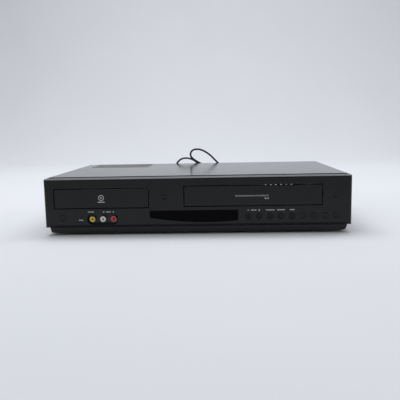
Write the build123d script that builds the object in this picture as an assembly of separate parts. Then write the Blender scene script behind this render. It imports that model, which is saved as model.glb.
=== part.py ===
"""Disc and tape player, full width, with a disc loader on the left and a tape deck on the right.

Millimetres. +X is to the right seen from the front, the front faces -Y, +Z is up. The origin is at the bottom
centre of the box of the player, connectors included and lead left out. A depth is measured back from the front face.
"""
from build123d import *
from math import asin, atan2, cos, degrees, hypot, pi, radians, sin, tan
import os

# ---- Driving dimensions ----------------------------------------------------------------------------------
# Fits and clearances
fit_gap = 0.3                # between a moving piece and what it passes
shaft_gap = 0.05             # radial, a shaft in its bore
seat_gap = 0.2               # under a gear, reel or arm on its seat
bond = 0.5                   # how far two forms of one piece run into each other
edge_overlap = 1.0           # how far a cutting tool runs past the face it opens
weld = 0.01                  # two corners closer than this are one

# What the player takes
disc_recess_radius = 60.6    # round a 120 mm disc
small_recess_radius = 40.6   # round an 80 mm disc
cassette_width = 187.0
cassette_height = 25.0

# Sheets and walls
cover_sheet = 0.8
base_sheet = 1.0
rear_sheet = 1.0
deck_sheet = 1.2
carrier_sheet = 1.0
guide_sheet = 1.2
slider_sheet = 1.2
panel_wall = 3.0
loader_wall = 2.5
board_thickness = 1.6

# Disc tray and loader, across
tray_margin = 3.4
tray_width = 2 * (disc_recess_radius + tray_margin)
tray_door_overlap = 2.95
tray_door_width = tray_width + 2 * tray_door_overlap
loader_side_room = 5.5
loader_width = tray_width + 2 * (loader_side_room + loader_wall)

# Tape carrier, guides and deck, across
carrier_side_gap = 0.5
guide_gap = 2.0
slider_gap = 0.4
deck_margin = 1.7
carrier_half_width = cassette_width / 2 + carrier_side_gap
guide_inner = carrier_half_width + carrier_sheet + guide_gap
slider_inner = guide_inner + guide_sheet + slider_gap
deck_width = 2 * (slider_inner + slider_sheet + deck_margin)
cassette_door_margin = 2.3
cassette_door_width = cassette_width + 2 * cassette_door_margin

# Front from left to right: margins, doors and the gap between them add up to the panel's width
left_margin = 14.3
middle_gap = 49.4
right_margin = 40.8
panel_width = left_margin + tray_door_width + middle_gap + cassette_door_width + right_margin
panel_left = -panel_width / 2
tray_door_left = panel_left + left_margin
tray_door_right = tray_door_left + tray_door_width
cassette_door_left = tray_door_right + middle_gap
cassette_door_right = cassette_door_left + cassette_door_width
loader_x = (tray_door_left + tray_door_right) / 2
deck_x = (cassette_door_left + cassette_door_right) / 2
panel_overhang = 1.7         # past the cover, each side
cover_width = panel_width - 2 * panel_overhang

# Heights, from the table up
base_z = 9.0
base_top = base_z + base_sheet
deck_rise = 11.0
deck_z = base_z + deck_rise
deck_top = deck_z + deck_sheet
carrier_seat = 2.1           # a loaded cassette's underside above the deck
carrier_down = 17.0
cassette_floor = deck_top + carrier_seat + carrier_down
carrier_roof = cassette_floor + cassette_height + 2 * carrier_side_gap
cross_rod_rise = 5.2
cross_rod_z = carrier_roof + cross_rod_rise
guide_rise = 4.5
guide_top = cross_rod_z + guide_rise
cover_room = 4.8
height = guide_top + cover_room + cover_sheet

# Depths, from the front face back
panel_depth = 18.6
carrier_front = 34.0
carrier_length = 90.0
carrier_in = 52.0
drum_gap = 36.0              # loaded carrier's rear edge to the drum's middle
drum_depth = carrier_front + carrier_length + carrier_in + drum_gap
drum_base_radius = 33.0
deck_front = carrier_front
deck_rear_margin = 5.0
deck_back = drum_depth + drum_base_radius + deck_rear_margin
rear_room = 15.0
case_depth = deck_back + rear_room
connector_reach = 9.0        # aerial connectors behind the rear panel
button_proud = 0.7           # caps in front of the panel
front_y = -(case_depth + connector_reach - button_proud) / 2
rear_wall_front = case_depth - rear_sheet - cover_sheet

# Front panel and plinth
bezel_rise = 1.3             # slope of the bezel's top up to the cover
cover_step = 0.6             # cover above the bezel's rear edge
panel_top = height - cover_step - bezel_rise
panel_bottom = 11.2
panel_corner = 4.0
panel_top_round = 2.0
panel_bottom_round = 4.5
inner_round = 0.8            # least round inside a corner
plinth_setback = 3.8
plinth_bottom = 3.0
plinth_margin = 5.0          # inside the panel's ends
plinth_taper = 2.6           # each side, top to bottom
plinth_bevel = 8.0
plinth_bevel_rise = 1.3
groove_width = 0.6
groove_depth = 0.5
groove_inset = 0.4           # left groove right of the tray door, right groove right of the window
rib_thickness = 1.5
rib_inset = 9.0
hook_width = 9.0
hook_length = 8.0            # behind the panel's rear edge
hook_thickness = 1.6
hook_nose = 0.9
hook_margin = 55.0
hook_pitch = 80.0
hook_count = 5

# Cover, pan and feet
cover_bend = 2.2
cover_side_bottom = 12.0
cover_lip = 7.0
base_flange = 15.0
foot_radius = 18.0
foot_draft = 2.0
foot_hollow = 1.0
foot_side_margin = 43.0      # panel's end to the foot's middle
foot_front_depth = 42.0
foot_rear_margin = 29.0
foot_x = panel_width / 2 - foot_side_margin
foot_rear_depth = case_depth - foot_rear_margin
vent_length = 22.0
vent_width = 2.4
vent_pitch = 4.8
vent_rows = 3
vent_columns = 21
vent_row_pitch = 26.5
vent_side_margin = 23.3
vent_rear_margin = 70.0
side_vent_count = 8
side_vent_pitch = 9.0
side_vent_height = 18.0
side_vent_rear_margin = 87.0
side_vent_z = 46.0
bead_count = 3
bead_front = 55.0
bead_pitch = 85.0
bead_margin = 20.0
bead_width = 7.0
bead_height = 1.0
pan_slot_count = 7
pan_slot_pitch = 13.25
pan_slot_front = 80.0
pan_slot_length = 40.0
pan_slot_margin = 45.0
rear_slot_count = 12
rear_slot_pitch = 9.6
rear_slot_bottom = 30.0
rear_slot_height = 32.0
rear_slot_inset = 18.4       # left of the deck's middle
screw_radius = 1.5
screw_length = 5.0
screw_head_radius = 3.2
screw_head = 1.6
side_screw_front = 60.0
side_screw_rear_margin = 33.0
side_screw_z = 17.0
rear_screw_margin = 17.3
rear_screw_drop = 4.6
rear_screw_z = height - rear_screw_drop

# Tray door and cassette door
door_gap = 0.6
door_bevel = 0.7
loader_rise = 18.0
loader_bottom = base_top + loader_rise
tray_rise = 19.5
tray_plate_bottom = loader_bottom + tray_rise
tray_door_drop = 8.9
tray_door_bottom = tray_plate_bottom - tray_door_drop
tray_door_height = 27.6
tray_door_thickness = 3.0
cassette_door_drop = 0.7
cassette_door_bottom = cassette_floor - cassette_door_drop
cassette_door_room = 3.0
cassette_door_height = cassette_door_drop + cassette_height + cassette_door_room
cassette_door_thickness = 3.0
cassette_door_top_round = 1.0  # rear top edge, which turns under the opening's edge
cassette_pin_radius = 0.9
cassette_pin_length = 2.2
cassette_pin_depth = 1.6
cassette_pin_drop = 1.3
cassette_pin_z = cassette_door_bottom + cassette_door_height - cassette_pin_drop

# Display window
window_inset = 0.8
window_width = 124.0
window_left = tray_door_right + window_inset
window_right = window_left + window_width
window_below_door = 5.2
window_top = cassette_door_bottom - window_below_door
window_left_drop = 10.2      # height of the window at its left end
window_right_drop = 15.2
window_belly_drop = 17.2     # at its deepest
window_belly_inset = 82.0    # from its left end
window_thickness = 2.0
window_step = 1.2            # ledge round the window
groove_left_x = tray_door_right + groove_inset
groove_right_x = window_right + groove_inset + shaft_gap
tube_margin = 14.0
tube_top_gap = 1.4
tube_height = 13.5
tube_gap = 1.0

# Buttons
button_travel = 0.8
button_bevel = 0.4
power_inset = 25.2
power_rise = 13.9
power_radius = 4.7
power_x = panel_left + power_inset
power_z = panel_bottom + power_rise
row_inset = 13.9             # window's right end to the first button
row_end_inset = 21.66        # last button to the panel's right end
row_gaps = 8
row_rise = 13.3
row_radius = 4.25
row_first_x = window_right + row_inset
row_pitch = (panel_left + panel_width - row_end_inset - row_first_x) / row_gaps
row_z = panel_bottom + row_rise
small_radius = 3.4
open_inset = 21.6            # right of the tray door
open_rise = 14.4             # above its lower edge
eject_inset = 18.4           # right of the cassette door
eject_rise = 13.0
open_x = tray_door_right + open_inset
open_z = tray_door_bottom + open_rise
eject_x = cassette_door_right + eject_inset
eject_z = cassette_door_bottom + eject_rise
flange_lip = 1.0
flange_thickness = 1.0
stem_radius = 1.5
stem_play = 0.1
switch_depth = 7.8
switch_size = 6.0
switch_cap_radius = 1.4
switch_cap = 1.0
front_board_depth = 11.0
front_board_rise = 3.2
front_board_drop = 3.6       # below the tray door
front_board_bottom = panel_bottom + front_board_rise
front_board_top = tray_door_bottom - front_board_drop
board_tab = 7.0              # half width of the tabs that carry the two high switches

# Phono jacks
jack_inset = 67.6
jack_pitch = 15.0
jack_rise = 11.9
jack_radius = 4.15
jack_bore = 3.4
jack_contact_radius = 1.5
jack_mouth = 0.6
jack_setback = 0.4
jack_xs = [panel_left + jack_inset + jack_pitch * i for i in range(3)]
jack_z = panel_bottom + jack_rise
recess_width = 44.6
recess_height = 15.4
recess_depth = 8.0
recess_wall = 1.4
jack_block_depth = 12.0
jack_block_rise = 9.0

# Disc loader
loader_front = 7.0
loader_height = 30.0
loader_top = loader_bottom + loader_height
loader_floor = 2.0
loader_deck_rise = 5.5
loader_deck_z = loader_bottom + loader_deck_rise
loader_window_inset = 8.0
nose_gap = 1.4
loader_nose_bottom = front_board_top + nose_gap  # in front of its deck the loader clears the front board
disc_depth = 72.0            # disc centre behind the front face
tray_tail = 35.4
tray_length = disc_depth - tray_door_thickness + disc_recess_radius + tray_tail
tray_thickness = 4.0
tray_plate_top = tray_plate_bottom + tray_thickness
tray_skirt = 3.0
tray_skirt_drop = 2.5
tray_skirt_inset = 4.0
tray_skirt_bottom = tray_plate_bottom - tray_skirt_drop
tray_corner = 2.0
tray_front_wall = 2.4
tray_front_inset = 6.0
tray_front_drop = 5.0
tray_front_rise = 8.5
disc_recess_drop = 2.5
small_recess_drop = 0.9
hub_hole_radius = 19.0
pickup_slot_width = 46.0
pickup_slot_length = 58.0
rail_height = 2.2
tab_depths = (30.0, 100.0, 150.0)
tab_length = 8.0
tab_thickness = 1.6
tab_reach = 2.0              # over the tray's edge

# Tray drive
gear_module = 1.2
pressure_angle = 20.0
tooth_tip = 0.9              # above and below the pitch line, times the module
tooth_root = 1.15
tray_gear_teeth = 20
pinion_teeth = 12
tooth_play = 0.22            # taken off each tooth's width at the pitch line
rack_margin = 10.0           # tray's edge to the rack's pitch line
rack_rib = 4.0
rack_line = loader_x - tray_width / 2 + rack_margin
tray_gear_depth = 36.0
gear_deck_margin = 14.0
loader_deck_start = tray_gear_depth - gear_deck_margin
loader_deck_end = tray_gear_depth + gear_deck_margin
pulley_gap = 0.5
pulley_bottom = loader_deck_z + loader_floor + pulley_gap
pulley_height = 3.6
pulley_top = pulley_bottom + pulley_height
belt_z = (pulley_bottom + pulley_top) / 2
pinion_height = 3.4
pinion_top = pulley_top + pinion_height
tray_gear_gap = 0.7
tray_gear_bottom = pulley_top + tray_gear_gap
tray_gear_drop = 0.6
tray_gear_top = tray_plate_bottom - tray_gear_drop
rack_bottom = pinion_top + seat_gap
pulley_radius = 13.0
motor_pulley_radius = 4.0
motor_shaft_radius = 1.0
motor_boss_radius = 3.0
motor_boss = 1.5
pulley_groove = 0.9
belt_width = 1.0
belt_thickness = 0.8
belt_play = 0.15
motor_span = 36.8            # between the two pulleys
tray_gear_x = rack_line + tray_gear_teeth * gear_module / 2
pulley_x = tray_gear_x + (tray_gear_teeth + pinion_teeth) * gear_module / 2
motor_x = pulley_x + motor_span
motor_radius = 12.2
motor_height = 12.0
gear_pin_radius = 1.5
gear_seat = 1.2

# Traverse, drawn raised and then lowered about its rear pivot
lift = 6.0
pivot_reach = 110.0          # disc's middle to the pivot
pivot_depth = disc_depth + pivot_reach
loader_tail = 18.0
loader_back = pivot_depth + loader_tail
disc_lift = 1.5              # raised turntable above the recess's floor
turntable_top = tray_plate_top - disc_recess_drop + disc_lift
traverse_drop = 8.5
traverse_z = turntable_top - traverse_drop
pivot_rise = 0.8
pivot_z = traverse_z + pivot_rise
pivot_radius = 2.0
pivot_pin = 4.0
pivot_block = 5.0            # half length of the blocks that hold the pivot
traverse_width = 92.0
traverse_front = disc_depth - 20.0
traverse_sheet = 1.6
traverse_rim = 3.0
traverse_rim_sheet = 1.5
traverse_corner = 4.0
rim_front_inset = 8.0
rim_rear_inset = 4.0
pivot_bar = 6.0
window_side = 5.0            # window past each rod
hub_room = 1.0
rod_offset = 26.0
rod_radius = 1.5
rod_drop = 2.6
rod_z = traverse_z - rod_drop
rod_front = disc_depth + 14.0
rod_length = 66.0
rod_back = rod_front + rod_length
rod_clip = 3.0
spindle_motor_radius = 13.0
spindle_motor_height = 5.5
spindle_radius = 1.25
motor_hub = 1.2
turntable_radius = 14.0
turntable_thickness = 1.8
cone_radius = 7.3
cone_height = 2.4
cone_draft = 1.6
hub_radius = 5.0
turntable_hub_radius = 4.4
pickup_inner = disc_depth + 30.0
pickup_length = 24.0
pickup_width = 40.0
pickup_lug = 3.0             # past each rod
pickup_rise = 3.6
pickup_shoulder = 2.0
pickup_top = traverse_z + pickup_rise
pickup_belly = 2.8
pickup_bearing = 2.4
pickup_cap = 9.0
pickup_cap_width = 11.0
lens_radius = 2.6
lens_rise = 0.6
bridge_sheet = 1.2
bridge_half = 16.0
bridge_front = disc_depth - bridge_half
bridge_back = disc_depth + bridge_half
bridge_slot = 5.0
bridge_slot_margin = 6.0
bridge_slot_insets = (12.0, 22.0)
clamper_radius = 16.0
clamper_neck = 11.5
clamper_top_radius = 14.0
clamper_top = 1.4
clamper_play = 0.1
clamper_drop = 0.4
clamper_bottom = turntable_top + 1.8
clamper_recess = 8.6
clamper_recess_depth = 2.8

# Tape deck
deck_corner = 5.0
deck_post_inset = 5.0
deck_post_margin = 6.0
deck_window_width = 120.0
deck_window_length = 40.0
deck_window_reach = 44.0
motor_hole_radius = 14.0
ledge_width = 21.0
carrier_window_margin = 22.0
carrier_window_front = 16.0
carrier_window_back = 14.0
slider_pin_radius = 2.0
slider_pin_end = 0.8
carrier_pin_inset = 50.0
carrier_pin_depth = carrier_front + carrier_pin_inset
carrier_pin_rise = 20.7
carrier_pin_z = cassette_floor + carrier_pin_rise
slider_half = 9.0
slider_end = 4.0
guide_foot = 4.0
guide_front_margin = 4.0
guide_foot_margin = 10.0
guide_corner = 8.0
guide_tail = 34.0
guide_back = carrier_pin_depth + carrier_in + guide_tail
guide_slope = 10.0
guide_slope_drop = 20.0
drum_radius = 31.0
drum_tilt = 5.0
drum_base_rise = 7.5
drum_sink = 2.5              # tilted half into its base
drum_base_top = deck_z + drum_base_rise
lower_drum_height = 9.5
lower_drum_top = drum_base_top + lower_drum_height
drum_split = 0.4
head_drum_height = 15.0
head_drum_top = lower_drum_top + head_drum_height
drum_rim = 4.0
drum_hub_radius = 9.0
drum_hub_drop = 1.0
drum_shaft_radius = 2.5
head_notch = 1.2
head_notch_half = 2.5
head_notch_height = 1.6
capstan_dx = 54.0
capstan_setback = 22.0
capstan_depth = drum_depth - capstan_setback
capstan_radius = 1.5
capstan_rise = 25.0
capstan_top = deck_z + capstan_rise
rotor_radius = 26.0
rotor_height = 5.5
rotor_gap = 2.5              # under the deck
rotor_top = deck_z - rotor_gap
rotor_bottom = rotor_top - rotor_height
rotor_rim = 3.0
rotor_hollow = 2.5
rotor_hub = 7.0
sleeve_radius = 4.0
sleeve_rise = 9.0
sleeve_top = deck_z + sleeve_rise
pinch_reach = 22.0
pinch_setback = 6.0
pinch_dx = capstan_dx + pinch_reach
pinch_depth = capstan_depth - pinch_setback
pinch_post_radius = 2.0
pinch_post_rise = 3.0
pin_shoulder = 1.5
pinch_arm_rise = 3.0
pinch_arm_bottom = deck_z + pinch_arm_rise
pinch_arm_sheet = 3.0
pinch_arm_top = pinch_arm_bottom + pinch_arm_sheet
pinch_arm_width = 7.0
pinch_pin_radius = 1.2
pinch_pin_rise = 0.8
pinch_roller_radius = 6.0
pinch_roller_gap = 4.5
pinch_roller_bottom = pinch_arm_top + pinch_roller_gap
pinch_roller_height = 13.5
pinch_roller_top = pinch_roller_bottom + pinch_roller_height
pinch_swing = 30.0           # degrees from rest until the roller reaches the capstan
pinch_nip = 0.3
reel_dx = 46.0
reel_inset = 42.0            # loaded carrier's front edge to the reels
reel_depth = carrier_front + carrier_in + reel_inset
reel_radius = 21.0
reel_rise = 2.4
reel_bottom = deck_z + reel_rise
reel_thickness = 2.4
spindle_rise = 18.0
spindle_top = deck_z + spindle_rise
spindle_cap = 1.5
spindle_nose = 3.0
spindle_nose_radius = 2.6
reel_spindle_radius = 5.2
reel_fin = 1.4
reel_fins = 3
reel_pin_radius = 1.5
carriage_start = (24.0, drum_depth - 60.0)
carriage_end = (40.0, drum_depth - 15.0)
carriage_radius = 6.0
carriage_rise = 1.6
carriage_bottom = deck_z + carriage_rise
carriage_height = 3.4
carriage_top = carriage_bottom + carriage_height
guide_radius = 3.0
guide_flange = 1.2
guide_flange_height = 1.5
guide_pin_radius = 1.4
guide_post_top = deck_z + 25.0
stem_width = 3.0
stem_foot = 1.5
stem_foot_height = 1.2
# Erase head, then audio and control head: X from the deck's middle, setback from the drum's middle, width, depth
head_blocks = ((-62.0, 16.0, 12.0, 9.0), (58.0, 6.0, 9.0, 8.0))
head_rise = 6.0
head_top = deck_z + 24.0
head_pin_radius = 2.5
head_foot = 1.2
tape_posts = ((-72.0, 28.0), (-52.0, 8.0), (68.0, 8.0))
tape_post_radius = 1.4
tape_post_flange = 3.4
tape_post_foot = 2.0
tape_post_cap = 1.5
tape_post_top = deck_z + 26.0

# Boards and rear connectors
board_rise = 4.0
board_z = base_top + board_rise
board_side_gap = 8.3
board_deck_gap = 3.9
board_left = board_side_gap - cover_width / 2
board_right = deck_x - deck_width / 2 - board_deck_gap
board_front = 22.0
board_loader_gap = 3.0
board_split = loader_back + board_loader_gap  # main board in front of this, power board behind
board_joint = 1.0
power_rear_gap = 2.0
power_back = rear_wall_front - power_rear_gap
standoff_radius = 3.0
board_post_inset = 6.0
loader_post_front = 22.0     # behind the loader's deck
loader_post_rear = 9.0       # in front of the loader's rear edge
aerial_inset = 19.0          # board's right edge to the aerial connectors
aerial_x = board_right - aerial_inset
aerial_zs = (30.0, 50.0)
aerial_radius = 4.7
aerial_bore = 1.2
aerial_floor = 3.0
tuner_width = 30.0
tuner_depth = 22.0
tuner_top = 62.0
rear_jack_pitch_x = 14.4
rear_jack_pitch_z = 15.0
rear_jack_inset = 40.0       # aerial connectors to the middle column
rear_jack_x = aerial_x - rear_jack_inset
rear_jack_z = 44.0
rear_jack_block = 11.0
rear_jack_drop = 1.5         # jacks shorter than the aerial connectors
power_inset_right = 26.0
power_right = rear_jack_x - power_inset_right
gland_inset = 36.0
gland_x = rear_jack_x - gland_inset
# Chips: from the board's left and front, side and height. Capacitors: from its left and front
main_board_chips = ((55.0, 68.0, 24.0, 2.0), (95.0, 98.0, 18.0, 2.0), (115.0, 58.0, 14.0, 1.6),
                    (35.0, 118.0, 12.0, 1.6), (145.0, 128.0, 20.0, 2.0))
main_board_capacitors = ((15.0, 38.0), (27.0, 38.0), (115.0, 148.0), (105.0, 148.0), (155.0, 38.0))
capacitor_radius = 4.0
capacitor_height = 9.0
transformer_inset = 49.0
transformer_back = 22.0
transformer_core = (16.0, 14.0, 26.0)     # half width, half depth and height
transformer_winding = (12.0, 18.0, 19.0)
# Large capacitors: from the power board's left and front, radius and height
power_capacitors = ((17.0, 18.0, 9.0, 30.0), (17.0, 40.0, 6.5, 20.0))
sink_inset = 78.0
sink_back = 6.0
sink_width = 14.0
sink_height = 30.0
sink_fins = 5
sink_pitch = 5.0
sink_fin = 1.5
sink_spine = 2.0

# Lead's bush and strain relief
gland_z = 30.0
gland_radius = 5.0
gland_lip = 1.5
gland_tail = 6.0
gland_flange = 2.0
relief_length = 22.0
relief_radius = 2.6
relief_rings = 5
relief_first = 3.0
relief_pitch = 3.6
relief_ring = 0.5

# Mains lead, coil and plug
cord_radius = 1.7
cord_floor = 1.9             # Z of the lead's middle where it lies on the table
arc_share = 0.45
coil_x = 112.0
coil_depth = 301.0
coil_radius = 19.0           # middle of the turns
coil_across = 10.2           # three turns side by side
coil_height = 7.0            # two layers
plug_x = 146.0
plug_depth = 323.4           # the tail leaves the coil's rear straight to the plug
plug_z = 6.2
plug_length = 26.0
plug_width = 19.0
plug_height = 12.0
plug_round = 4.0
plug_bevel = 2.5
blade_length = 16.0
blade_height = 6.4
blade_thickness = 1.5
blade_gap = 12.7
tail_start = (121.6, plug_depth, 5.3)

# The lead's route as X, depth behind the front face and Z: along the table, up into the low bow behind the cover's
# edge, down, up again into the high bow that leans over the edge, and down to the coil.
lead_route = (
    (-122.0, 288.2, 30.0), (-122.0, 297.0, 30.0), (-120.0, 305.5, 21.0), (-115.0, 309.0, 10.0),
    (-106.0, 309.0, 3.0), (-92.0, 308.0, 2.0), (-77.0, 305.0, 3.5), (-66.0, 301.0, 12.0),
    (-60.0, 292.0, 33.0), (-57.0, 281.0, 57.0), (-50.0, 271.5, 80.0), (-39.0, 269.0, 91.5),
    (-21.0, 269.0, 91.0), (-6.0, 272.0, 79.5), (3.5, 281.0, 57.0), (12.0, 292.0, 32.0),
    (23.0, 299.0, 10.0), (40.0, 302.0, 2.6), (58.0, 302.0, 2.6), (73.0, 300.0, 11.0),
    (76.0, 293.0, 30.0), (65.0, 284.5, 50.0), (46.0, 277.0, 66.0), (28.0, 271.5, 82.5),
    (14.0, 270.0, 98.0), (-3.0, 269.5, 108.0), (-19.0, 270.0, 107.0), (-23.5, 271.5, 95.0),
    (-12.0, 274.0, 85.0), (3.0, 279.0, 77.0), (17.0, 288.0, 60.0), (30.0, 300.0, 39.0),
    (43.0, 312.0, 19.0), (57.0, 320.5, 5.0), (76.0, 323.4, 1.9), (108.0, 323.4, 1.9),
)


# ---- Helpers ---------------------------------------------------------------------------------------------
LOW = (Align.MIN, Align.MIN, Align.MIN)
STAND = (Align.CENTER, Align.CENTER, Align.MIN)
SIDES = (-1, 1)
ALL_HEIGHTS = (-edge_overlap, height)


def at_depth(depth):
    """Y of a point that lies depth behind the front face."""
    return front_y + depth


def about(middle, half):
    """A span of so much on each side of a middle."""
    return middle - half, middle + half


def beside(middle, side, inner, outer):
    """The span between two distances from a middle, on its left (-1) or right (1)."""
    return sorted((middle + side * inner, middle + side * outer))


def past(span):
    """A span lengthened at both ends, for a cutting tool."""
    return span[0] - edge_overlap, span[1] + edge_overlap


def block(xs, depths, zs):
    """A block between two X, two depths behind the front face and two Z."""
    corner = Pos(xs[0], at_depth(depths[0]), zs[0])
    return corner * Box(xs[1] - xs[0], depths[1] - depths[0], zs[1] - zs[0], align=LOW)


def round_bar(length, radius, end_radius):
    """A cylinder standing on the origin, or a cone where it has an end radius."""
    if end_radius is None:
        return Cylinder(radius, length, align=STAND)
    return Cone(radius, end_radius, length, align=STAND)


def post(x, depth, zs, radius, top_radius=None):
    """A round post standing between two Z."""
    return Pos(x, at_depth(depth), zs[0]) * round_bar(zs[1] - zs[0], radius, top_radius)


def pin_back(x, z, depths, radius, back_radius=None):
    """A round pin along Y between two depths."""
    bar = round_bar(depths[1] - depths[0], radius, back_radius)
    return Pos(x, at_depth(depths[0]), z) * Rot(-90, 0, 0) * bar


def pin_across(xs, depth, z, radius):
    """A round pin along X between two X."""
    return Pos(xs[0], at_depth(depth), z) * Rot(0, 90, 0) * round_bar(xs[1] - xs[0], radius, None)


def from_front(sketch, depths):
    """A sketch drawn in X and Z, extruded between two depths."""
    return extrude(Plane.XZ.offset(-at_depth(depths[1])) * sketch, amount=depths[1] - depths[0])


def across(sketch, xs):
    """A sketch drawn in Y and Z, extruded between two X."""
    return extrude(Plane.YZ.offset(xs[0]) * sketch, amount=xs[1] - xs[0])


def upright(sketch, zs):
    """A sketch drawn in X and Y, extruded between two Z."""
    return extrude(Plane.XY.offset(zs[0]) * sketch, amount=zs[1] - zs[0])


def polygon(*points):
    """A filled outline through its corners."""
    return make_face(Polyline(*points, close=True))


def save(shape, node):
    """Writes a piece to its own file."""
    export_step(shape, f"parts/{node}.step")
    print(f"{node}: {len(shape.solids())} solids, {shape.volume:.0f} mm3")


# ---- Front panel -----------------------------------------------------------------------------------------
def window_outline(grow=0.0):
    """Display window seen from the front: straight top and ends, and a belly that is one arc."""
    left = window_left - grow
    right = window_right + grow
    top = window_top + grow
    low_left = (left, window_top - window_left_drop - grow)
    belly = (window_left + window_belly_inset, window_top - window_belly_drop - grow)
    low_right = (right, window_top - window_right_drop - grow)
    bottom = ThreePointArc(low_left, belly, low_right)
    rest = Polyline(low_right, (right, top), (left, top), low_left)
    return make_face([bottom.edge(), *rest.edges()])


def panel_shape(inset, back_depth):
    """The panel's form, or its hollow when inset by the wall: side profile and plan, crossed."""
    half = panel_width / 2 - inset
    back_half = cover_width / 2 - inset
    back = at_depth(back_depth)
    front = front_y + inset
    bottom = panel_bottom + inset
    top = panel_top - inset
    profile = polygon((front, bottom), (front, top), (back, top + bezel_rise), (back, bottom))
    low = profile.vertices().filter_by(lambda v: abs(v.X - front) < weld).sort_by(Axis.Y)[0]
    profile = fillet(low, max(panel_bottom_round - inset, inner_round))
    high = profile.vertices().filter_by(lambda v: v.Y > top - weld).sort_by(Axis.X)[0]
    profile = fillet(high, max(panel_top_round - inset, inner_round))
    full = front + panel_corner + edge_overlap
    plan = polygon((-half, front), (half, front), (half, full), (back_half, back), (-back_half, back),
                   (-half, full))
    corners = plan.vertices().filter_by(lambda v: abs(v.Y - front) < weld)
    plan = fillet(corners, max(panel_corner - inset, inner_round))
    return across(profile, about(0, half)) & upright(plan, (0, height))


def plinth_shape(inset):
    """The plinth under the panel seen from the front: sides that lean in and a shallow bevel at each end."""
    half = panel_width / 2 - plinth_margin - inset
    low_half = half - plinth_taper
    bottom = plinth_bottom + inset
    top = panel_bottom + panel_wall / 2
    return polygon((-half, top), (-low_half, bottom + plinth_bevel_rise), (-low_half + plinth_bevel, bottom),
                   (low_half - plinth_bevel, bottom), (low_half, bottom + plinth_bevel_rise), (half, top))


def door_outline(left, width, bottom, door_height, grow):
    """A door seen from the front, or its opening when grown by the gap."""
    middle = Pos(left + width / 2, bottom + door_height / 2)
    return middle * Rectangle(width + 2 * grow, door_height + 2 * grow)


def tray_outline(grow):
    return door_outline(tray_door_left, tray_door_width, tray_door_bottom, tray_door_height, grow)


def cassette_outline(grow):
    return door_outline(cassette_door_left, cassette_door_width, cassette_door_bottom, cassette_door_height,
                        grow)


def recess_outline(grow):
    """The round-ended recess of the phono jacks."""
    return Pos(jack_xs[1], jack_z) * SlotOverall(recess_width + 2 * grow, recess_height + 2 * grow)


def button_places():
    """X, Z and cap radius of every push button, by name."""
    names = ("channel_down", "channel_up", "source", "copy", "record", "rewind", "stop", "play", "forward")
    places = {}
    for i, name in enumerate(names):
        places[f"{name}_button"] = (row_first_x + row_pitch * i, row_z, row_radius)
    places["power_button"] = (power_x, power_z, power_radius)
    places["disc_open_button"] = (open_x, open_z, small_radius)
    places["cassette_eject_button"] = (eject_x, eject_z, small_radius)
    return places


def snap_hook(x):
    """A hook on the panel's top wall that catches under the cover."""
    root = panel_top + bezel_rise - panel_wall
    tip = panel_depth + hook_length
    xs = about(x, hook_width / 2)
    arm = block(xs, (panel_depth - panel_wall, tip), (root, root + hook_thickness))
    nose = polygon((at_depth(tip), root), (at_depth(tip), root + hook_thickness),
                   (at_depth(tip - hook_nose), root + hook_thickness + hook_nose),
                   (at_depth(tip - 2 * hook_nose), root + hook_thickness + hook_nose),
                   (at_depth(tip - 2 * hook_nose), root))
    return arm + across(nose, xs)


def front_panel():
    """Moulded panel and plinth with its door openings, window seat, jack recess, grooves, ribs and hooks."""
    shell = panel_shape(0, panel_depth) + from_front(plinth_shape(0), (plinth_setback, panel_depth))
    shell -= panel_shape(panel_wall, panel_depth + edge_overlap)
    shell -= from_front(plinth_shape(panel_wall), (plinth_setback + panel_wall, panel_depth + edge_overlap))
    shell += from_front(recess_outline(recess_wall) - recess_outline(0), (panel_wall / 2, recess_depth))
    frame = tray_outline(door_gap + recess_wall) - tray_outline(door_gap)
    shell += from_front(frame, (panel_wall / 2, loader_front))
    through = past((0, panel_wall))
    for opening in (tray_outline(door_gap), cassette_outline(door_gap), recess_outline(0),
                    window_outline(-window_step)):
        shell -= from_front(opening, through)
    shell -= from_front(window_outline(0), (-edge_overlap, window_thickness))
    reach = door_gap + cassette_pin_length
    shell -= pin_across((cassette_door_left - reach, cassette_door_right + reach),
                        cassette_pin_depth, cassette_pin_z, cassette_pin_radius + shaft_gap)
    for x, z, radius in button_places().values():
        shell -= pin_back(x, z, through, radius + fit_gap)
    groove = (-edge_overlap, groove_depth)
    for x, top in ((groove_left_x, tray_door_bottom - door_gap),
                   (groove_right_x, window_top - window_right_drop)):
        shell -= block(about(x, groove_width / 2), groove, (panel_bottom, top))
        shell += block(about(x + rib_inset, rib_thickness / 2), (panel_wall / 2, front_board_depth),
                       (panel_bottom, front_board_bottom))
    for i in range(hook_count):
        shell += snap_hook(panel_left + hook_margin + hook_pitch * i)
    return shell


def display_window():
    """Clear dark plate that lies flush in the panel."""
    return from_front(window_outline(-shaft_gap), (0, window_thickness))


# ---- Cover, pan, rear panel, feet and screws -------------------------------------------------------------
def cover_outline(inset):
    """The cover's bent sheet seen from the front: its outside, or its inside when inset by the sheet."""
    half = cover_width / 2 - inset
    bottom = cover_side_bottom - (edge_overlap if inset else 0)
    outline = polygon((-half, bottom), (-half, height - inset), (half, height - inset), (half, bottom))
    corners = outline.vertices().filter_by(lambda v: v.Y > height / 2)
    return fillet(corners, max(cover_bend - inset, inner_round))


def vent_slots():
    """Staggered slots over the power board, each running front to back."""
    slots = []
    for row in range(vent_rows):
        shift = vent_pitch / 2 if row % 2 else 0
        y = at_depth(case_depth - vent_rear_margin + vent_row_pitch * row)
        for column in range(vent_columns):
            x = vent_side_margin - cover_width / 2 + vent_pitch * column + shift
            slots.append(Pos(x, y) * Rectangle(vent_width, vent_length))
    return Sketch() + slots


def side_screw_places():
    depths = (side_screw_front, case_depth - side_screw_rear_margin)
    return [(side, depth) for side in SIDES for depth in depths]


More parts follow.
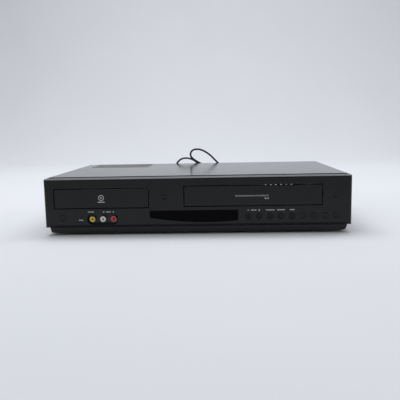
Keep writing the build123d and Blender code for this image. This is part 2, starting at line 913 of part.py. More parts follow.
def rear_screw_xs():
    return [side * (cover_width / 2 - rear_screw_margin) for side in (-1, 0, 1)]


def top_cover():
    """Bent steel cover: top and two sides, a lip over the rear panel, vents and screw holes."""
    span = (panel_depth, case_depth)
    cover = from_front(cover_outline(0), span) - from_front(cover_outline(cover_sheet), past(span))
    cover += block(about(0, cover_width / 2 - cover_bend), (case_depth - cover_sheet, case_depth),
                   (height - cover_lip, height - cover_sheet / 2))
    cover -= upright(vent_slots(), (height - cover_bend, height + edge_overlap))
    for i in range(side_vent_count):
        depth = case_depth - side_vent_rear_margin + side_vent_pitch * i
        cover -= block(beside(0, -1, cover_width / 2 - cover_bend, cover_width / 2 + edge_overlap),
                       (depth, depth + vent_width), (side_vent_z, side_vent_z + side_vent_height))
    for side, depth in side_screw_places():
        cover -= pin_across(beside(0, side, cover_width / 2 - cover_bend, cover_width / 2 + edge_overlap),
                            depth, side_screw_z, screw_radius + fit_gap)
    lip = past((case_depth - cover_sheet, case_depth))
    for x in rear_screw_xs():
        cover -= pin_back(x, rear_screw_z, lip, screw_radius + fit_gap)
    return cover


def board_standoffs():
    """Where the boards' posts stand: three at the main board's corners, and four under the power board's."""
    inset = board_post_inset
    return [(board_left + inset, board_front + inset), (board_right - inset, board_front + inset),
            (board_right - inset, board_split - inset), (board_left + inset, board_split + board_joint + inset),
            (power_right - inset, power_back - 2 * inset)]


def loader_standoffs():
    """Two posts a side, each reaching one radius under the loader's edge."""
    reach = loader_width / 2 - standoff_radius + shaft_gap
    return [(loader_x + side * reach, depth) for side in SIDES
            for depth in (loader_deck_end + loader_post_front, loader_back - loader_post_rear)]


def deck_standoffs():
    """One post near each corner of the deck."""
    reach = deck_width / 2 - deck_post_inset
    return [(deck_x + side * reach, depth) for side in SIDES
            for depth in (deck_front + deck_post_margin, deck_back - deck_post_margin)]


def chassis():
    """Pressed steel pan: a flange up each side, raised beads, posts for what it carries, and slots for air."""
    half = cover_width / 2 - cover_sheet - fit_gap
    span = (panel_depth + fit_gap, rear_wall_front)
    pan = block(about(0, half), span, (base_z, base_top))
    for side in SIDES:
        pan += block(beside(0, side, half - base_sheet, half), span, (base_z, base_z + base_flange))
    for side, depth in side_screw_places():
        pan -= pin_across(past(beside(0, side, half - base_sheet, half)), depth, side_screw_z, screw_radius)
    for i in range(bead_count):
        bead = Pos(0, at_depth(bead_front + bead_pitch * i)) * SlotOverall(2 * (half - bead_margin), bead_width)
        pan += upright(bead, (base_top - bond, base_top + bead_height))
    root = base_top - bond
    for places, top in ((board_standoffs(), board_z), (deck_standoffs(), deck_z),
                        (loader_standoffs(), loader_bottom)):
        for x, depth in places:
            pan += post(x, depth, (root, top), standoff_radius)
    slot = (pan_slot_front, pan_slot_front + pan_slot_length)
    for i in range(pan_slot_count):
        x = panel_left + pan_slot_margin + pan_slot_pitch * i
        pan -= block((x, x + vent_width), slot, past((base_z, base_top)))
    return pan


def rear_jack_places():
    return [(rear_jack_x + rear_jack_pitch_x * i, rear_jack_z + rear_jack_pitch_z * j)
            for i in (-1, 0, 1) for j in (-1, 0, 1)]


def rear_panel():
    """Flat steel sheet with holes for the connectors, the lead's bush and air."""
    half = cover_width / 2 - cover_sheet - fit_gap
    depths = (rear_wall_front, rear_wall_front + rear_sheet)
    top = height - cover_sheet - fit_gap
    outline = polygon((-half, base_z), (half, base_z), (half, top), (-half, top))
    corners = outline.vertices().filter_by(lambda v: v.Y > height / 2)
    panel = from_front(fillet(corners, cover_bend), depths)
    holes = [(x, z, jack_radius + fit_gap) for x, z in rear_jack_places()]
    holes += [(aerial_x, z, aerial_radius + fit_gap) for z in aerial_zs]
    holes += [(x, rear_screw_z, screw_radius) for x in rear_screw_xs()]
    holes.append((gland_x, gland_z, gland_radius))
    for x, z, radius in holes:
        panel -= pin_back(x, z, past(depths), radius)
    slot = (rear_slot_bottom, rear_slot_bottom + rear_slot_height)
    for i in range(rear_slot_count):
        x = deck_x - rear_slot_inset + rear_slot_pitch * i
        panel -= block((x, x + vent_width), past(depths), slot)
    return panel


def feet():
    """Four round feet, narrower at the table, with a dished underside."""
    solids = []
    for side in SIDES:
        for depth in (foot_front_depth, foot_rear_depth):
            foot = post(side * foot_x, depth, (0, base_z), foot_radius - foot_draft, foot_radius)
            solids.append(foot - post(side * foot_x, depth, (-edge_overlap, foot_hollow), foot_radius / 2))
    return solids


def case_screws():
    """Two screws in each side of the cover and three in its rear lip, with flat round heads."""
    shank_radius = screw_radius - shaft_gap
    screws = []
    for side, depth in side_screw_places():
        shank = beside(0, side, cover_width / 2 - screw_length, cover_width / 2)
        head = beside(0, side, cover_width / 2, cover_width / 2 + screw_head)
        screws.append(pin_across(shank, depth, side_screw_z, shank_radius)
                      + pin_across(head, depth, side_screw_z, screw_head_radius))
    for x in rear_screw_xs():
        screws.append(pin_back(x, rear_screw_z, (case_depth - screw_length, case_depth), shank_radius)
                      + pin_back(x, rear_screw_z, (case_depth, case_depth + screw_head), screw_head_radius))
    return screws


# ---- Doors, buttons and front electronics ----------------------------------------------------------------
def tray_door():
    """Plate on the tray's front, bevelled all round."""
    door = from_front(tray_outline(0), (0, tray_door_thickness))
    return chamfer(door.faces().sort_by(Axis.Y)[0].edges(), door_bevel)


def cassette_door():
    """Flap hinged at its top on two pins, bevelled all round."""
    door = from_front(cassette_outline(0), (0, cassette_door_thickness))
    door = chamfer(door.faces().sort_by(Axis.Y)[0].edges(), door_bevel)
    back_top = door.faces().sort_by(Axis.Y)[-1].edges().sort_by(Axis.Z)[-1]
    door = fillet(back_top, cassette_door_top_round)
    for side in SIDES:
        xs = beside(deck_x, side, cassette_door_width / 2 - bond, cassette_door_width / 2 + cassette_pin_length)
        door += pin_across(xs, cassette_pin_depth, cassette_pin_z, cassette_pin_radius)
    return door


def button(x, z, radius):
    """A cap through the panel, a lip behind the wall that keeps it in, and a stem to the key switch."""
    lip_start = panel_wall + fit_gap
    lip_end = lip_start + flange_thickness
    cap = pin_back(x, z, (-button_proud, lip_start), radius)
    cap = chamfer(cap.faces().sort_by(Axis.Y)[0].edges(), button_bevel)
    lip = pin_back(x, z, (lip_start, lip_end), radius + flange_lip)
    return cap + lip + pin_back(x, z, (lip_end - bond, switch_depth - button_travel - stem_play), stem_radius)


def front_board():
    """Upright board with a key switch behind every button, cut out round the phono jacks."""
    depths = (front_board_depth, front_board_depth + board_thickness)
    board = block(about(0, -board_left), depths, (front_board_bottom, front_board_top))
    board -= block(about(jack_xs[1], recess_width / 2), past(depths),
                   (front_board_bottom - edge_overlap, jack_z + jack_block_rise + bond))
    for x, z in ((open_x, open_z), (eject_x, eject_z)):
        board += block(about(x, board_tab), depths, (front_board_top - bond, z + board_tab))
    for x, z, _ in button_places().values():
        body = about(z, switch_size / 2)
        board += block(about(x, switch_size / 2), (switch_depth + switch_cap, front_board_depth), body)
        board += pin_back(x, z, (switch_depth, switch_depth + switch_cap), switch_cap_radius)
    return board


def display_tube():
    """Flat glass display behind the window."""
    top = window_top - tube_top_gap
    return block((window_left + tube_margin, window_right - tube_margin),
                 (panel_wall + tube_gap, front_board_depth), (top - tube_height, top))


def front_jack_block():
    """Moulded block behind the front jacks."""
    return block(about(jack_xs[1], recess_width / 2 - bond), (recess_depth, recess_depth + jack_block_depth),
                 (front_board_bottom, jack_z + jack_block_rise))


def phono_jack(x, z, depths, mouth_side):
    """A metal collar round an insulator set back at the mouth, with the contact's hole in its middle."""
    hole = past(depths)
    collar = pin_back(x, z, depths, jack_radius) - pin_back(x, z, hole, jack_bore)
    front = depths[0] + (jack_mouth if mouth_side < 0 else 0)
    back = depths[1] - (jack_mouth if mouth_side > 0 else 0)
    insulator = pin_back(x, z, (front, back), jack_bore - shaft_gap) - pin_back(x, z, hole, jack_contact_radius)
    return [collar, insulator]


def front_jacks():
    """Three phono jacks in a row, facing the front."""
    solids = []
    for x in jack_xs:
        solids += phono_jack(x, jack_z, (jack_setback, recess_depth), -1)
    return solids


# ---- Disc loader -----------------------------------------------------------------------------------------
def half_tooth_angle(radius, pitch_radius, base):
    """Half a tooth's angle at a radius, from the involute functions at the pitch line and there."""
    pitch_angle = radians(pressure_angle)
    radius = max(radius, base)
    angle = atan2((radius ** 2 - base ** 2) ** 0.5, base)
    half_width = pi * gear_module / 4 - tooth_play / 2
    return half_width / pitch_radius + (tan(pitch_angle) - pitch_angle) - (tan(angle) - angle)


def gear_outline(teeth):
    """Spur gear with each flank in two straight steps along the involute."""
    pitch_radius = teeth * gear_module / 2
    tip = pitch_radius + tooth_tip * gear_module
    root = pitch_radius - tooth_root * gear_module
    base = pitch_radius * cos(radians(pressure_angle))
    points = []
    for i in range(teeth):
        middle = 2 * pi * i / teeth
        for radius, side in ((root, -1), (pitch_radius, -1), (tip, -1), (tip, 1), (pitch_radius, 1), (root, 1)):
            turn = middle + side * half_tooth_angle(radius, pitch_radius, base)
            points.append((radius * cos(turn), radius * sin(turn)))
    return polygon(*points)


def tray_rack():
    """Rack under the tray: straight-sided teeth towards the middle, in step with the gear beside it."""
    pitch = pi * gear_module
    tip = rack_line + tooth_tip * gear_module
    root = rack_line - tooth_root * gear_module
    front = tray_door_thickness + tray_front_wall
    back = tray_door_thickness + tray_length
    slope = tan(radians(pressure_angle))
    half = pitch / 4 - tooth_play / 2
    low = half + (rack_line - root) * slope
    high = half - (tip - rack_line) * slope
    points = [(rack_line - rack_rib, at_depth(front)), (root, at_depth(front))]
    depth = tray_gear_depth + pitch / 2 - pitch * int((tray_gear_depth - front) / pitch)
    while depth < back - pitch:
        points += [(root, at_depth(depth - low)), (tip, at_depth(depth - high)),
                   (tip, at_depth(depth + high)), (root, at_depth(depth + low))]
        depth += pitch
    points += [(root, at_depth(back)), (rack_line - rack_rib, at_depth(back))]
    return upright(polygon(*points), (rack_bottom, tray_plate_bottom + bond))


def disc_tray():
    """Tray with a recess for each size of disc, a way through for the spindle and pickup, skirts and a rack."""
    front = tray_door_thickness
    back = front + tray_length
    plan = Pos(loader_x, at_depth((front + back) / 2)) * RectangleRounded(tray_width, tray_length, tray_corner)
    tray = upright(plan, (tray_plate_bottom, tray_plate_top))
    skirt = (front + tray_skirt_inset, back - tray_skirt_inset)
    for side in SIDES:
        tray += block(beside(loader_x, side, tray_width / 2 - tray_skirt, tray_width / 2), skirt,
                      (tray_skirt_bottom, tray_plate_bottom + bond))
    wall_top = tray_plate_top + tray_front_rise
    tray += block(about(loader_x, tray_width / 2 - tray_front_inset), (front, front + tray_front_wall),
                  (tray_plate_bottom - tray_front_drop, wall_top))
    disc_floor = tray_plate_top - disc_recess_drop
    tray -= post(loader_x, disc_depth, (disc_floor, wall_top + edge_overlap), disc_recess_radius)
    tray -= post(loader_x, disc_depth, (disc_floor - small_recess_drop, wall_top), small_recess_radius)
    through = past((tray_plate_bottom, tray_plate_top))
    tray -= post(loader_x, disc_depth, through, hub_hole_radius)
    slot = (disc_depth, disc_depth + pickup_slot_length)
    tray -= block(about(loader_x, pickup_slot_width / 2), slot, through)
    return tray + tray_rack()


def tray_gear():
    """Idler between the pinion and the tray's rack."""
    gear = Pos(tray_gear_x, at_depth(tray_gear_depth)) * gear_outline(tray_gear_teeth)
    bore = post(tray_gear_x, tray_gear_depth, ALL_HEIGHTS, gear_pin_radius + shaft_gap)
    return upright(gear, (tray_gear_bottom, tray_gear_top)) - bore


def belt_groove(x, radius):
    """The ring cut out of a pulley's rim for the belt."""
    zs = about(belt_z, belt_width / 2 + belt_play)
    ring = post(x, tray_gear_depth, zs, radius + edge_overlap)
    return ring - post(x, tray_gear_depth, zs, radius - pulley_groove)


def pulley_gear():
    """Large pulley with the pinion on top, in one moulding."""
    half_tooth = 180.0 / pinion_teeth
    pinion = Pos(pulley_x, at_depth(tray_gear_depth)) * Rot(0, 0, half_tooth) * gear_outline(pinion_teeth)
    gear = upright(pinion, (pulley_top, pinion_top))
    gear += post(pulley_x, tray_gear_depth, (pulley_bottom, pulley_top), pulley_radius)
    gear -= belt_groove(pulley_x, pulley_radius)
    return gear - post(pulley_x, tray_gear_depth, ALL_HEIGHTS, gear_pin_radius + shaft_gap)


def motor_pulley():
    """Small pulley on the motor's shaft."""
    pulley = post(motor_x, tray_gear_depth, (pulley_bottom, pulley_top), motor_pulley_radius)
    bore = post(motor_x, tray_gear_depth, ALL_HEIGHTS, motor_shaft_radius + shaft_gap)
    return pulley - belt_groove(motor_x, motor_pulley_radius) - bore


def loader_motor():
    """Motor hung under the loader's deck, its boss and shaft coming up through it."""
    can = post(motor_x, tray_gear_depth, (loader_deck_z - motor_height, loader_deck_z), motor_radius)
    can += post(motor_x, tray_gear_depth, (loader_deck_z, loader_deck_z + motor_boss), motor_boss_radius)
    return can + post(motor_x, tray_gear_depth, (loader_deck_z, pulley_top), motor_shaft_radius)


def belt_loop(grow):
    """The belt seen from above: round both pulleys, with two straight runs that touch them."""
    large = pulley_radius - pulley_groove + shaft_gap + grow
    small = motor_pulley_radius - pulley_groove + shaft_gap + grow
    lean = asin((large - small) / motor_span)
    out = cos(lean)
    along = sin(lean)
    y = at_depth(tray_gear_depth)
    web = polygon((pulley_x + large * along, y + large * out), (motor_x + small * along, y + small * out),
                  (motor_x + small * along, y - small * out), (pulley_x + large * along, y - large * out))
    return web + Pos(pulley_x, y) * Circle(large) + Pos(motor_x, y) * Circle(small)


def tray_belt():
    """Endless rubber belt that lies in both grooves."""
    return upright(belt_loop(belt_thickness) - belt_loop(0), about(belt_z, belt_width / 2))


def loader_frame():
    """Open moulded frame: floor, walls, the drive's deck, the tray's rails and tabs, and the traverse's pivots."""
    half = loader_width / 2
    inner = half - loader_wall
    floor = (loader_bottom, loader_bottom + loader_floor)
    frame = block(about(loader_x, half), (loader_front, loader_back), (loader_bottom, loader_top))
    frame -= block(about(loader_x, inner), (loader_front - edge_overlap, loader_back - loader_wall),
                   (floor[1], loader_top + edge_overlap))
    frame -= block(about(loader_x, inner - loader_window_inset),
                   (loader_deck_end + edge_overlap, pivot_depth - pivot_block), past(floor))
    frame -= block(about(loader_x, half + edge_overlap), (loader_front - edge_overlap, loader_deck_start),
                   (loader_bottom - edge_overlap, loader_nose_bottom))
    deck = (loader_deck_z, loader_deck_z + loader_floor)
    frame += block(about(loader_x, inner + bond), (loader_deck_start, loader_deck_end), deck)
    frame -= post(motor_x, tray_gear_depth, (loader_bottom - edge_overlap, deck[0]), motor_radius + fit_gap)
    frame -= post(motor_x, tray_gear_depth, past(deck), motor_boss_radius + fit_gap)
    root = deck[1] - bond
    for x, top, seat in ((tray_gear_x, tray_gear_top, tray_gear_bottom), (pulley_x, pinion_top, pulley_bottom)):
        frame += post(x, tray_gear_depth, (root, top), gear_pin_radius)
        frame += post(x, tray_gear_depth, (root, seat - seat_gap), gear_pin_radius + gear_seat)
    rail = (tray_skirt_bottom - seat_gap - rail_height, tray_skirt_bottom - seat_gap)
    tab = (tray_plate_top + seat_gap, tray_plate_top + seat_gap + tab_thickness)
    for side in SIDES:
        frame += block(beside(loader_x, side, tray_width / 2 - tray_skirt - bond, inner + bond),
                       (loader_front, loader_back - loader_wall), rail)
        for depth in tab_depths:
            frame += block(beside(loader_x, side, tray_width / 2 - tab_reach, inner + bond),
                           (depth, depth + tab_length), tab)
        frame += block(beside(loader_x, side, traverse_width / 2 + fit_gap, inner + bond),
                       about(pivot_depth, pivot_block), (floor[0] + bond, pivot_z + 2 * pivot_radius))
        frame -= pin_across(beside(loader_x, side, traverse_width / 2, inner + bond), pivot_depth, pivot_z,
                            pivot_radius + shaft_gap)
    return frame


def lowered(shape):
    """Turns a piece of the traverse, drawn raised, down about the rear pivot."""
    pivot = Pos(0, at_depth(pivot_depth), pivot_z)
    return pivot * Rot(degrees(asin(lift / pivot_reach)), 0, 0) * pivot.inverse() * shape


def traverse():
    """Steel plate with folded rims, rear pivots, a window for the pickup and the two rods it slides on."""
    half = traverse_width / 2
    length = pivot_depth - traverse_front
    top = traverse_z + traverse_sheet
    corners = RectangleRounded(traverse_width, length, traverse_corner)
    body = upright(Pos(loader_x, at_depth(traverse_front + length / 2)) * corners, (traverse_z, top))
    rim = (traverse_front + rim_front_inset, pivot_depth - rim_rear_inset)
    for side in SIDES:
        body += block(beside(loader_x, side, half - traverse_rim_sheet, half), rim,
                      (traverse_z - traverse_rim, top))
        body += pin_across(beside(loader_x, side, half - bond, half + pivot_pin), pivot_depth, pivot_z,
                           pivot_radius)
    body += block(about(loader_x, half), (pivot_depth - pivot_bar, pivot_depth + pivot_radius),
                  about(pivot_z, pivot_radius))
    body -= block(about(loader_x, rod_offset + window_side), (rod_front + rod_clip, rod_back - rod_clip),
                  ALL_HEIGHTS)
    body -= post(loader_x, disc_depth, ALL_HEIGHTS, hub_radius + hub_room)
    for side in SIDES:
        rod_x = loader_x + side * rod_offset
        for clip in ((rod_front, rod_front + rod_clip), (rod_back - rod_clip, rod_back)):
            body += block(about(rod_x, rod_clip), clip, (rod_z - rod_clip, traverse_z + bond))
        body += pin_back(rod_x, rod_z, (rod_front, rod_back), rod_radius)
    return lowered(body)


def spindle_motor():
    """Flat motor under the traverse, with its hub and shaft."""
    can = post(loader_x, disc_depth, (traverse_z - spindle_motor_height, traverse_z), spindle_motor_radius)
    can += post(loader_x, disc_depth, (traverse_z - bond, traverse_z + motor_hub), hub_radius)
    return lowered(can + post(loader_x, disc_depth, (traverse_z, turntable_top), spindle_radius))


def turntable():
    """Rim the disc lies on, and the cone that centres it."""
    top = turntable_top
    table = post(loader_x, disc_depth, (top - turntable_thickness, top), turntable_radius)
    table += post(loader_x, disc_depth, (traverse_z + motor_hub + fit_gap, top), turntable_hub_radius)
    table += post(loader_x, disc_depth, (top, top + cone_height), cone_radius, cone_radius - cone_draft)
    table -= post(loader_x, disc_depth, (traverse_z, top + shaft_gap), spindle_radius + shaft_gap)
    return lowered(table)


def pickup():
    """Carriage on the two rods, long-bored on the left and short-bored on the right, with the lens on top."""
    half = pickup_length / 2
    side = pickup_width / 2
    long = about(pickup_inner, half)
    bearing = (rod_z - pickup_belly, rod_z + pickup_bearing)
    reach = rod_offset + pickup_lug
    body = block(about(loader_x, side), long, (bearing[0], pickup_top - pickup_shoulder))
    body += block((loader_x - reach, loader_x - side + bond), long, bearing)
    body += block((loader_x + side - bond, loader_x + reach), about(pickup_inner, pickup_lug), bearing)
    for way in SIDES:
        body -= pin_back(loader_x + way * rod_offset, rod_z, past(long), rod_radius + shaft_gap)
    body += block(about(loader_x, pickup_cap_width), about(pickup_inner, pickup_cap),
                  (pickup_top - pickup_shoulder - bond, pickup_top - lens_rise))
    body += post(loader_x, pickup_inner, (pickup_top - lens_rise - bond, pickup_top), lens_radius)
    return lowered(body)


def clamper_bridge():
    """Steel strip across the loader's top that carries the clamper."""
    span = (bridge_front, bridge_back)
    zs = (loader_top, loader_top + bridge_sheet)
    bridge = block(about(loader_x, loader_width / 2), span, zs)
    for side in SIDES:
        for inset in bridge_slot_insets:
            outer = loader_width / 2 - inset
            bridge -= block(beside(loader_x, side, outer - bridge_slot, outer),
                            (bridge_front + bridge_slot_margin, bridge_back - bridge_slot_margin), past(zs))
    return bridge - post(loader_x, disc_depth, past(zs), clamper_neck + fit_gap)


def clamper():
    """Puck that hangs in the bridge: foot below it, neck through it and flange above it."""
    seat = loader_top + bridge_sheet + clamper_play
    disc = post(loader_x, disc_depth, (clamper_bottom, loader_top - clamper_drop), clamper_radius)
    disc += post(loader_x, disc_depth, (loader_top - clamper_drop - bond, seat + bond), clamper_neck)
    disc += post(loader_x, disc_depth, (seat, seat + clamper_top), clamper_top_radius)
    hollow = (clamper_bottom - edge_overlap, clamper_bottom + clamper_recess_depth)
    return disc - post(loader_x, disc_depth, hollow, clamper_recess)


# ---- Tape deck -------------------------------------------------------------------------------------------
def slot_between(start, end, width):
    """A round-ended slot between two places, each an offset from the deck's middle and a depth."""
    length = hypot(end[0] - start[0], end[1] - start[1])
    turn = degrees(atan2(end[1] - start[1], end[0] - start[0]))
    middle = Pos(deck_x + (start[0] + end[0]) / 2, at_depth((start[1] + end[1]) / 2))
    return middle * Rot(0, 0, turn) * SlotOverall(length + width, width)


def deck_chassis():
    """Steel plate: the guide carriages' slots, a window under the cassette, reel and arm pins, and the sleeve."""
    length = deck_back - deck_front
    outline = Pos(deck_x, at_depth(deck_front + length / 2)) * RectangleRounded(deck_width, length, deck_corner)
    for side in SIDES:
        ends = [(side * dx, depth) for dx, depth in (carriage_start, carriage_end)]
        outline -= slot_between(*ends, stem_width + 2 * fit_gap)
    outline -= Pos(deck_x, at_depth(drum_depth)) * Circle(motor_hole_radius)
    window = RectangleRounded(deck_window_width, deck_window_length, deck_corner)
    outline -= Pos(deck_x, at_depth(deck_front + deck_window_reach)) * window
    plate = upright(outline, (deck_z, deck_top))
    reel_pin_top = spindle_top - spindle_cap
    pins = [(side * reel_dx, reel_depth, reel_bottom, reel_pin_top, reel_pin_radius) for side in SIDES]
    pins.append((pinch_dx, pinch_depth, pinch_arm_bottom, pinch_arm_top + pinch_post_rise, pinch_post_radius))
    for dx, depth, seat, top, radius in pins:
        plate += post(deck_x + dx, depth, (deck_z, top), radius)
        plate += post(deck_x + dx, depth, (deck_z, seat - seat_gap), radius + pin_shoulder)
    plate += post(deck_x + capstan_dx, capstan_depth, (rotor_top + fit_gap, sleeve_top), sleeve_radius)
    return plate - post(deck_x + capstan_dx, capstan_depth, ALL_HEIGHTS, capstan_radius + shaft_gap)


def tilted(shape):
    """Leans a piece of the drum about the middle of its base."""
    foot = Pos(deck_x, at_depth(drum_depth), drum_base_top)
    return foot * Rot(-drum_tilt, 0, 0) * foot.inverse() * shape


def lower_drum():
    """Fixed half of the drum on its level base, with the shaft that the head drum turns on."""
    drum = post(deck_x, drum_depth, (deck_top, drum_base_top), drum_base_radius)
    drum += tilted(post(deck_x, drum_depth, (drum_base_top - drum_sink, lower_drum_top), drum_radius))
    return drum + tilted(post(deck_x, drum_depth, (lower_drum_top - bond, head_drum_top), drum_shaft_radius))


def head_drum():
    """Turning half of the drum: rim, hollow top with a raised hub, and a notch for the head on each side."""
    bottom = lower_drum_top + drum_split
    top = head_drum_top
    drum = post(deck_x, drum_depth, (bottom, top), drum_radius)
    drum -= post(deck_x, drum_depth, (top - drum_rim, top + edge_overlap), drum_radius - drum_rim)
    drum += post(deck_x, drum_depth, (top - drum_rim - bond, top - drum_hub_drop), drum_hub_radius)
    drum -= post(deck_x, drum_depth, past((bottom, top)), drum_shaft_radius + shaft_gap)
    for side in SIDES:
        drum -= block(about(deck_x + side * drum_radius, head_notch), about(drum_depth, head_notch_half),
                      (bottom - edge_overlap, bottom + head_notch_height))
    return tilted(drum)


def capstan():
    """Flywheel rotor under the deck, hollow below round its hub, and the capstan shaft."""
    x = deck_x + capstan_dx
    rotor = post(x, capstan_depth, (rotor_bottom, rotor_top), rotor_radius)
    rotor -= post(x, capstan_depth, (rotor_bottom - edge_overlap, rotor_bottom + rotor_hollow),
                  rotor_radius - rotor_rim)
    rotor += post(x, capstan_depth, (rotor_bottom, rotor_top), rotor_hub)
    return rotor + post(x, capstan_depth, (rotor_bottom, capstan_top), capstan_radius)


def pinch_roller_place():
    """X and depth of the pinch roller at rest: its arm swung back from where it meets the capstan."""
    dx = capstan_dx - pinch_dx
    ddepth = capstan_depth - pinch_depth
    arm = hypot(dx, ddepth)
    meet = 2 * asin((pinch_roller_radius + capstan_radius + pinch_nip) / (2 * arm))
    angle = atan2(ddepth, dx) + meet + radians(pinch_swing)
    return deck_x + pinch_dx + arm * cos(angle), pinch_depth + arm * sin(angle)


def pinch_arm():
    """Link from its post on the deck to the roller's pin."""
    x, depth = pinch_roller_place()
    link = slot_between((pinch_dx, pinch_depth), (x - deck_x, depth), pinch_arm_width)
    arm = upright(link, (pinch_arm_bottom, pinch_arm_top))
    arm -= post(deck_x + pinch_dx, pinch_depth, ALL_HEIGHTS, pinch_post_radius + shaft_gap)
    arm += post(x, depth, (pinch_arm_bottom, pinch_roller_top + pinch_pin_rise), pinch_pin_radius)
    return arm + post(x, depth, (pinch_arm_top - bond, pinch_roller_bottom - seat_gap), 2 * pinch_pin_radius)


def pinch_roller():
    """Rubber roller that presses the tape on the capstan."""
    x, depth = pinch_roller_place()
    roller = post(x, depth, (pinch_roller_bottom, pinch_roller_top), pinch_roller_radius)
    return roller - post(x, depth, ALL_HEIGHTS, pinch_pin_radius + shaft_gap)


def reel(side):
    """Reel table with a tapered spindle and three fins that drive the cassette's hub."""
    x = deck_x + side * reel_dx
    table_top = reel_bottom + reel_thickness
    nose = spindle_top - spindle_nose
    table = post(x, reel_depth, (reel_bottom, table_top), reel_radius)
    table += post(x, reel_depth, (reel_bottom, nose), reel_spindle_radius)
    table += post(x, reel_depth, (nose, spindle_top), reel_spindle_radius, spindle_nose_radius)
    fin = block((x, x + reel_spindle_radius + reel_fin), about(reel_depth, reel_fin / 2),
                (table_top - bond, nose - edge_overlap))
    for i in range(reel_fins):
        table += fin.rotate(Axis((x, at_depth(reel_depth), 0), (0, 0, 1)), 360 / reel_fins * i)
    bore_top = spindle_top - spindle_cap + 2 * shaft_gap
    return table - post(x, reel_depth, (0, bore_top), reel_pin_radius + shaft_gap)


def guide_carriage(side):
    """Sled in its slot, held by a foot under the deck, with the flanged roller that draws the tape out."""
    x = deck_x + side * carriage_start[0]
    depth = carriage_start[1]
    foot = deck_z - fit_gap
    roller = (carriage_top + guide_flange_height, guide_post_top - guide_flange_height)
    carriage = post(x, depth, (carriage_bottom, carriage_top), carriage_radius)
    carriage += post(x, depth, (foot - stem_foot_height, carriage_bottom + bond), stem_width / 2)
    carriage += post(x, depth, (foot - stem_foot_height, foot), stem_width / 2 + stem_foot)
    carriage += post(x, depth, (carriage_top - bond, guide_post_top), guide_pin_radius)
    carriage += post(x, depth, roller, guide_radius)
    return carriage + post(x, depth, (roller[1], guide_post_top), guide_radius + guide_flange)


def tape_heads():
    """Erase head on the left, audio and control head on the right, and the fixed posts of the tape path."""
    seat = deck_top + head_rise
    pieces = []
    for dx, setback, wide, deep in head_blocks:
        x, depth = deck_x + dx, drum_depth - setback
        head = block(about(x, wide / 2), about(depth, deep / 2), (seat, head_top))
        pin = post(x, depth, (deck_top, seat + bond), head_pin_radius)
        pieces.append(head + pin + post(x, depth, (deck_top, deck_top + head_foot), wide / 2))
    for dx, setback in tape_posts:
        x, depth = deck_x + dx, drum_depth - setback
        pin = post(x, depth, (deck_top, tape_post_top), tape_post_radius)
        cap = post(x, depth, (tape_post_top - tape_post_cap, tape_post_top), tape_post_flange)
        pieces.append(pin + cap + post(x, depth, (deck_top, deck_top + tape_post_foot), tape_post_flange))
    return pieces


def cassette_carrier():
    """Sheet cage that takes the cassette in and down: windowed top, two sides, and a ledge under each edge."""
    inner = carrier_half_width
    outer = inner + carrier_sheet
    span = (carrier_front, carrier_front + carrier_length)
    roof = (carrier_roof, carrier_roof + carrier_sheet)
    floor = (cassette_floor - carrier_sheet, cassette_floor)
    cage = block(about(deck_x, outer), span, roof)
    cage -= block(about(deck_x, inner - carrier_window_margin),
                  (span[0] + carrier_window_front, span[1] - carrier_window_back), past(roof))
    for side in SIDES:
        cage += block(beside(deck_x, side, inner, outer), span, (floor[0], roof[1]))
        cage += block(beside(deck_x, side, inner - ledge_width, outer), span, floor)
        pin = beside(deck_x, side, outer - bond, slider_inner + slider_sheet + slider_pin_end)
        cage += pin_across(pin, carrier_pin_depth, carrier_pin_z, slider_pin_radius)
    return cage


def carrier_guides():
    """Side plates of the deck, with a window for the carrier's pin and above it a slot for the cross rod."""
    gap = slider_pin_radius + fit_gap
    front = at_depth(deck_front + guide_front_margin)
    back = at_depth(guide_back)
    slope_foot = at_depth(guide_back + guide_slope)
    outline = polygon((front, deck_top), (front, guide_top - guide_corner), (front + guide_corner, guide_top),
                      (back, guide_top), (slope_foot, guide_top - guide_slope_drop), (slope_foot, deck_top))
    way = (carrier_pin_depth - gap, carrier_pin_depth + carrier_in + gap)
    plates = []
    for side in SIDES:
        xs = beside(deck_x, side, guide_inner, guide_inner + guide_sheet)
        plate = across(outline, xs)
        plate -= block(past(xs), way, (carrier_pin_z - carrier_down - gap, carrier_pin_z + gap))
        plate -= block(past(xs), way, about(cross_rod_z, gap))
        foot = beside(deck_x, side, guide_inner, guide_inner + guide_foot)
        plate += block(foot, (deck_front + guide_foot_margin, guide_back), (deck_top, deck_top + guide_sheet))
        plates.append(plate)
    return plates


def carrier_sliders():
    """Two slides outside the guides on one cross rod, each with an upright slot for the carrier's pin."""
    gap = slider_pin_radius + fit_gap
    outer = slider_inner + slider_sheet
    sliders = pin_across(about(deck_x, outer), carrier_pin_depth, cross_rod_z, slider_pin_radius)
    slot = (carrier_pin_z - carrier_down - gap, carrier_pin_z + gap)
    for side in SIDES:
        xs = beside(deck_x, side, slider_inner, outer)
        plate = block(xs, about(carrier_pin_depth, slider_half),
                      (slot[0] - slider_end, cross_rod_z + slider_end))
        sliders += plate - block(past(xs), about(carrier_pin_depth, gap), slot)
    return sliders


# ---- Boards and connectors -------------------------------------------------------------------------------
def main_board():
    """Large board under the loader: flat chips and upright capacitors, with room round the loader's posts."""
    zs = (board_z, board_z + board_thickness)
    board = block((board_left, board_right), (board_front, board_split), zs)
    root = zs[1] - bond
    for inset, back, size, tall in main_board_chips:
        x, depth = board_left + inset, board_front + back
        board += block(about(x, size / 2), about(depth, size / 2), (root, zs[1] + tall))
    capacitor = (root, zs[1] + capacitor_height)
    for inset, back in main_board_capacitors:
        board += post(board_left + inset, board_front + back, capacitor, capacitor_radius)
    for x, depth in loader_standoffs():
        board -= post(x, depth, past(zs), standoff_radius + fit_gap)
    return board


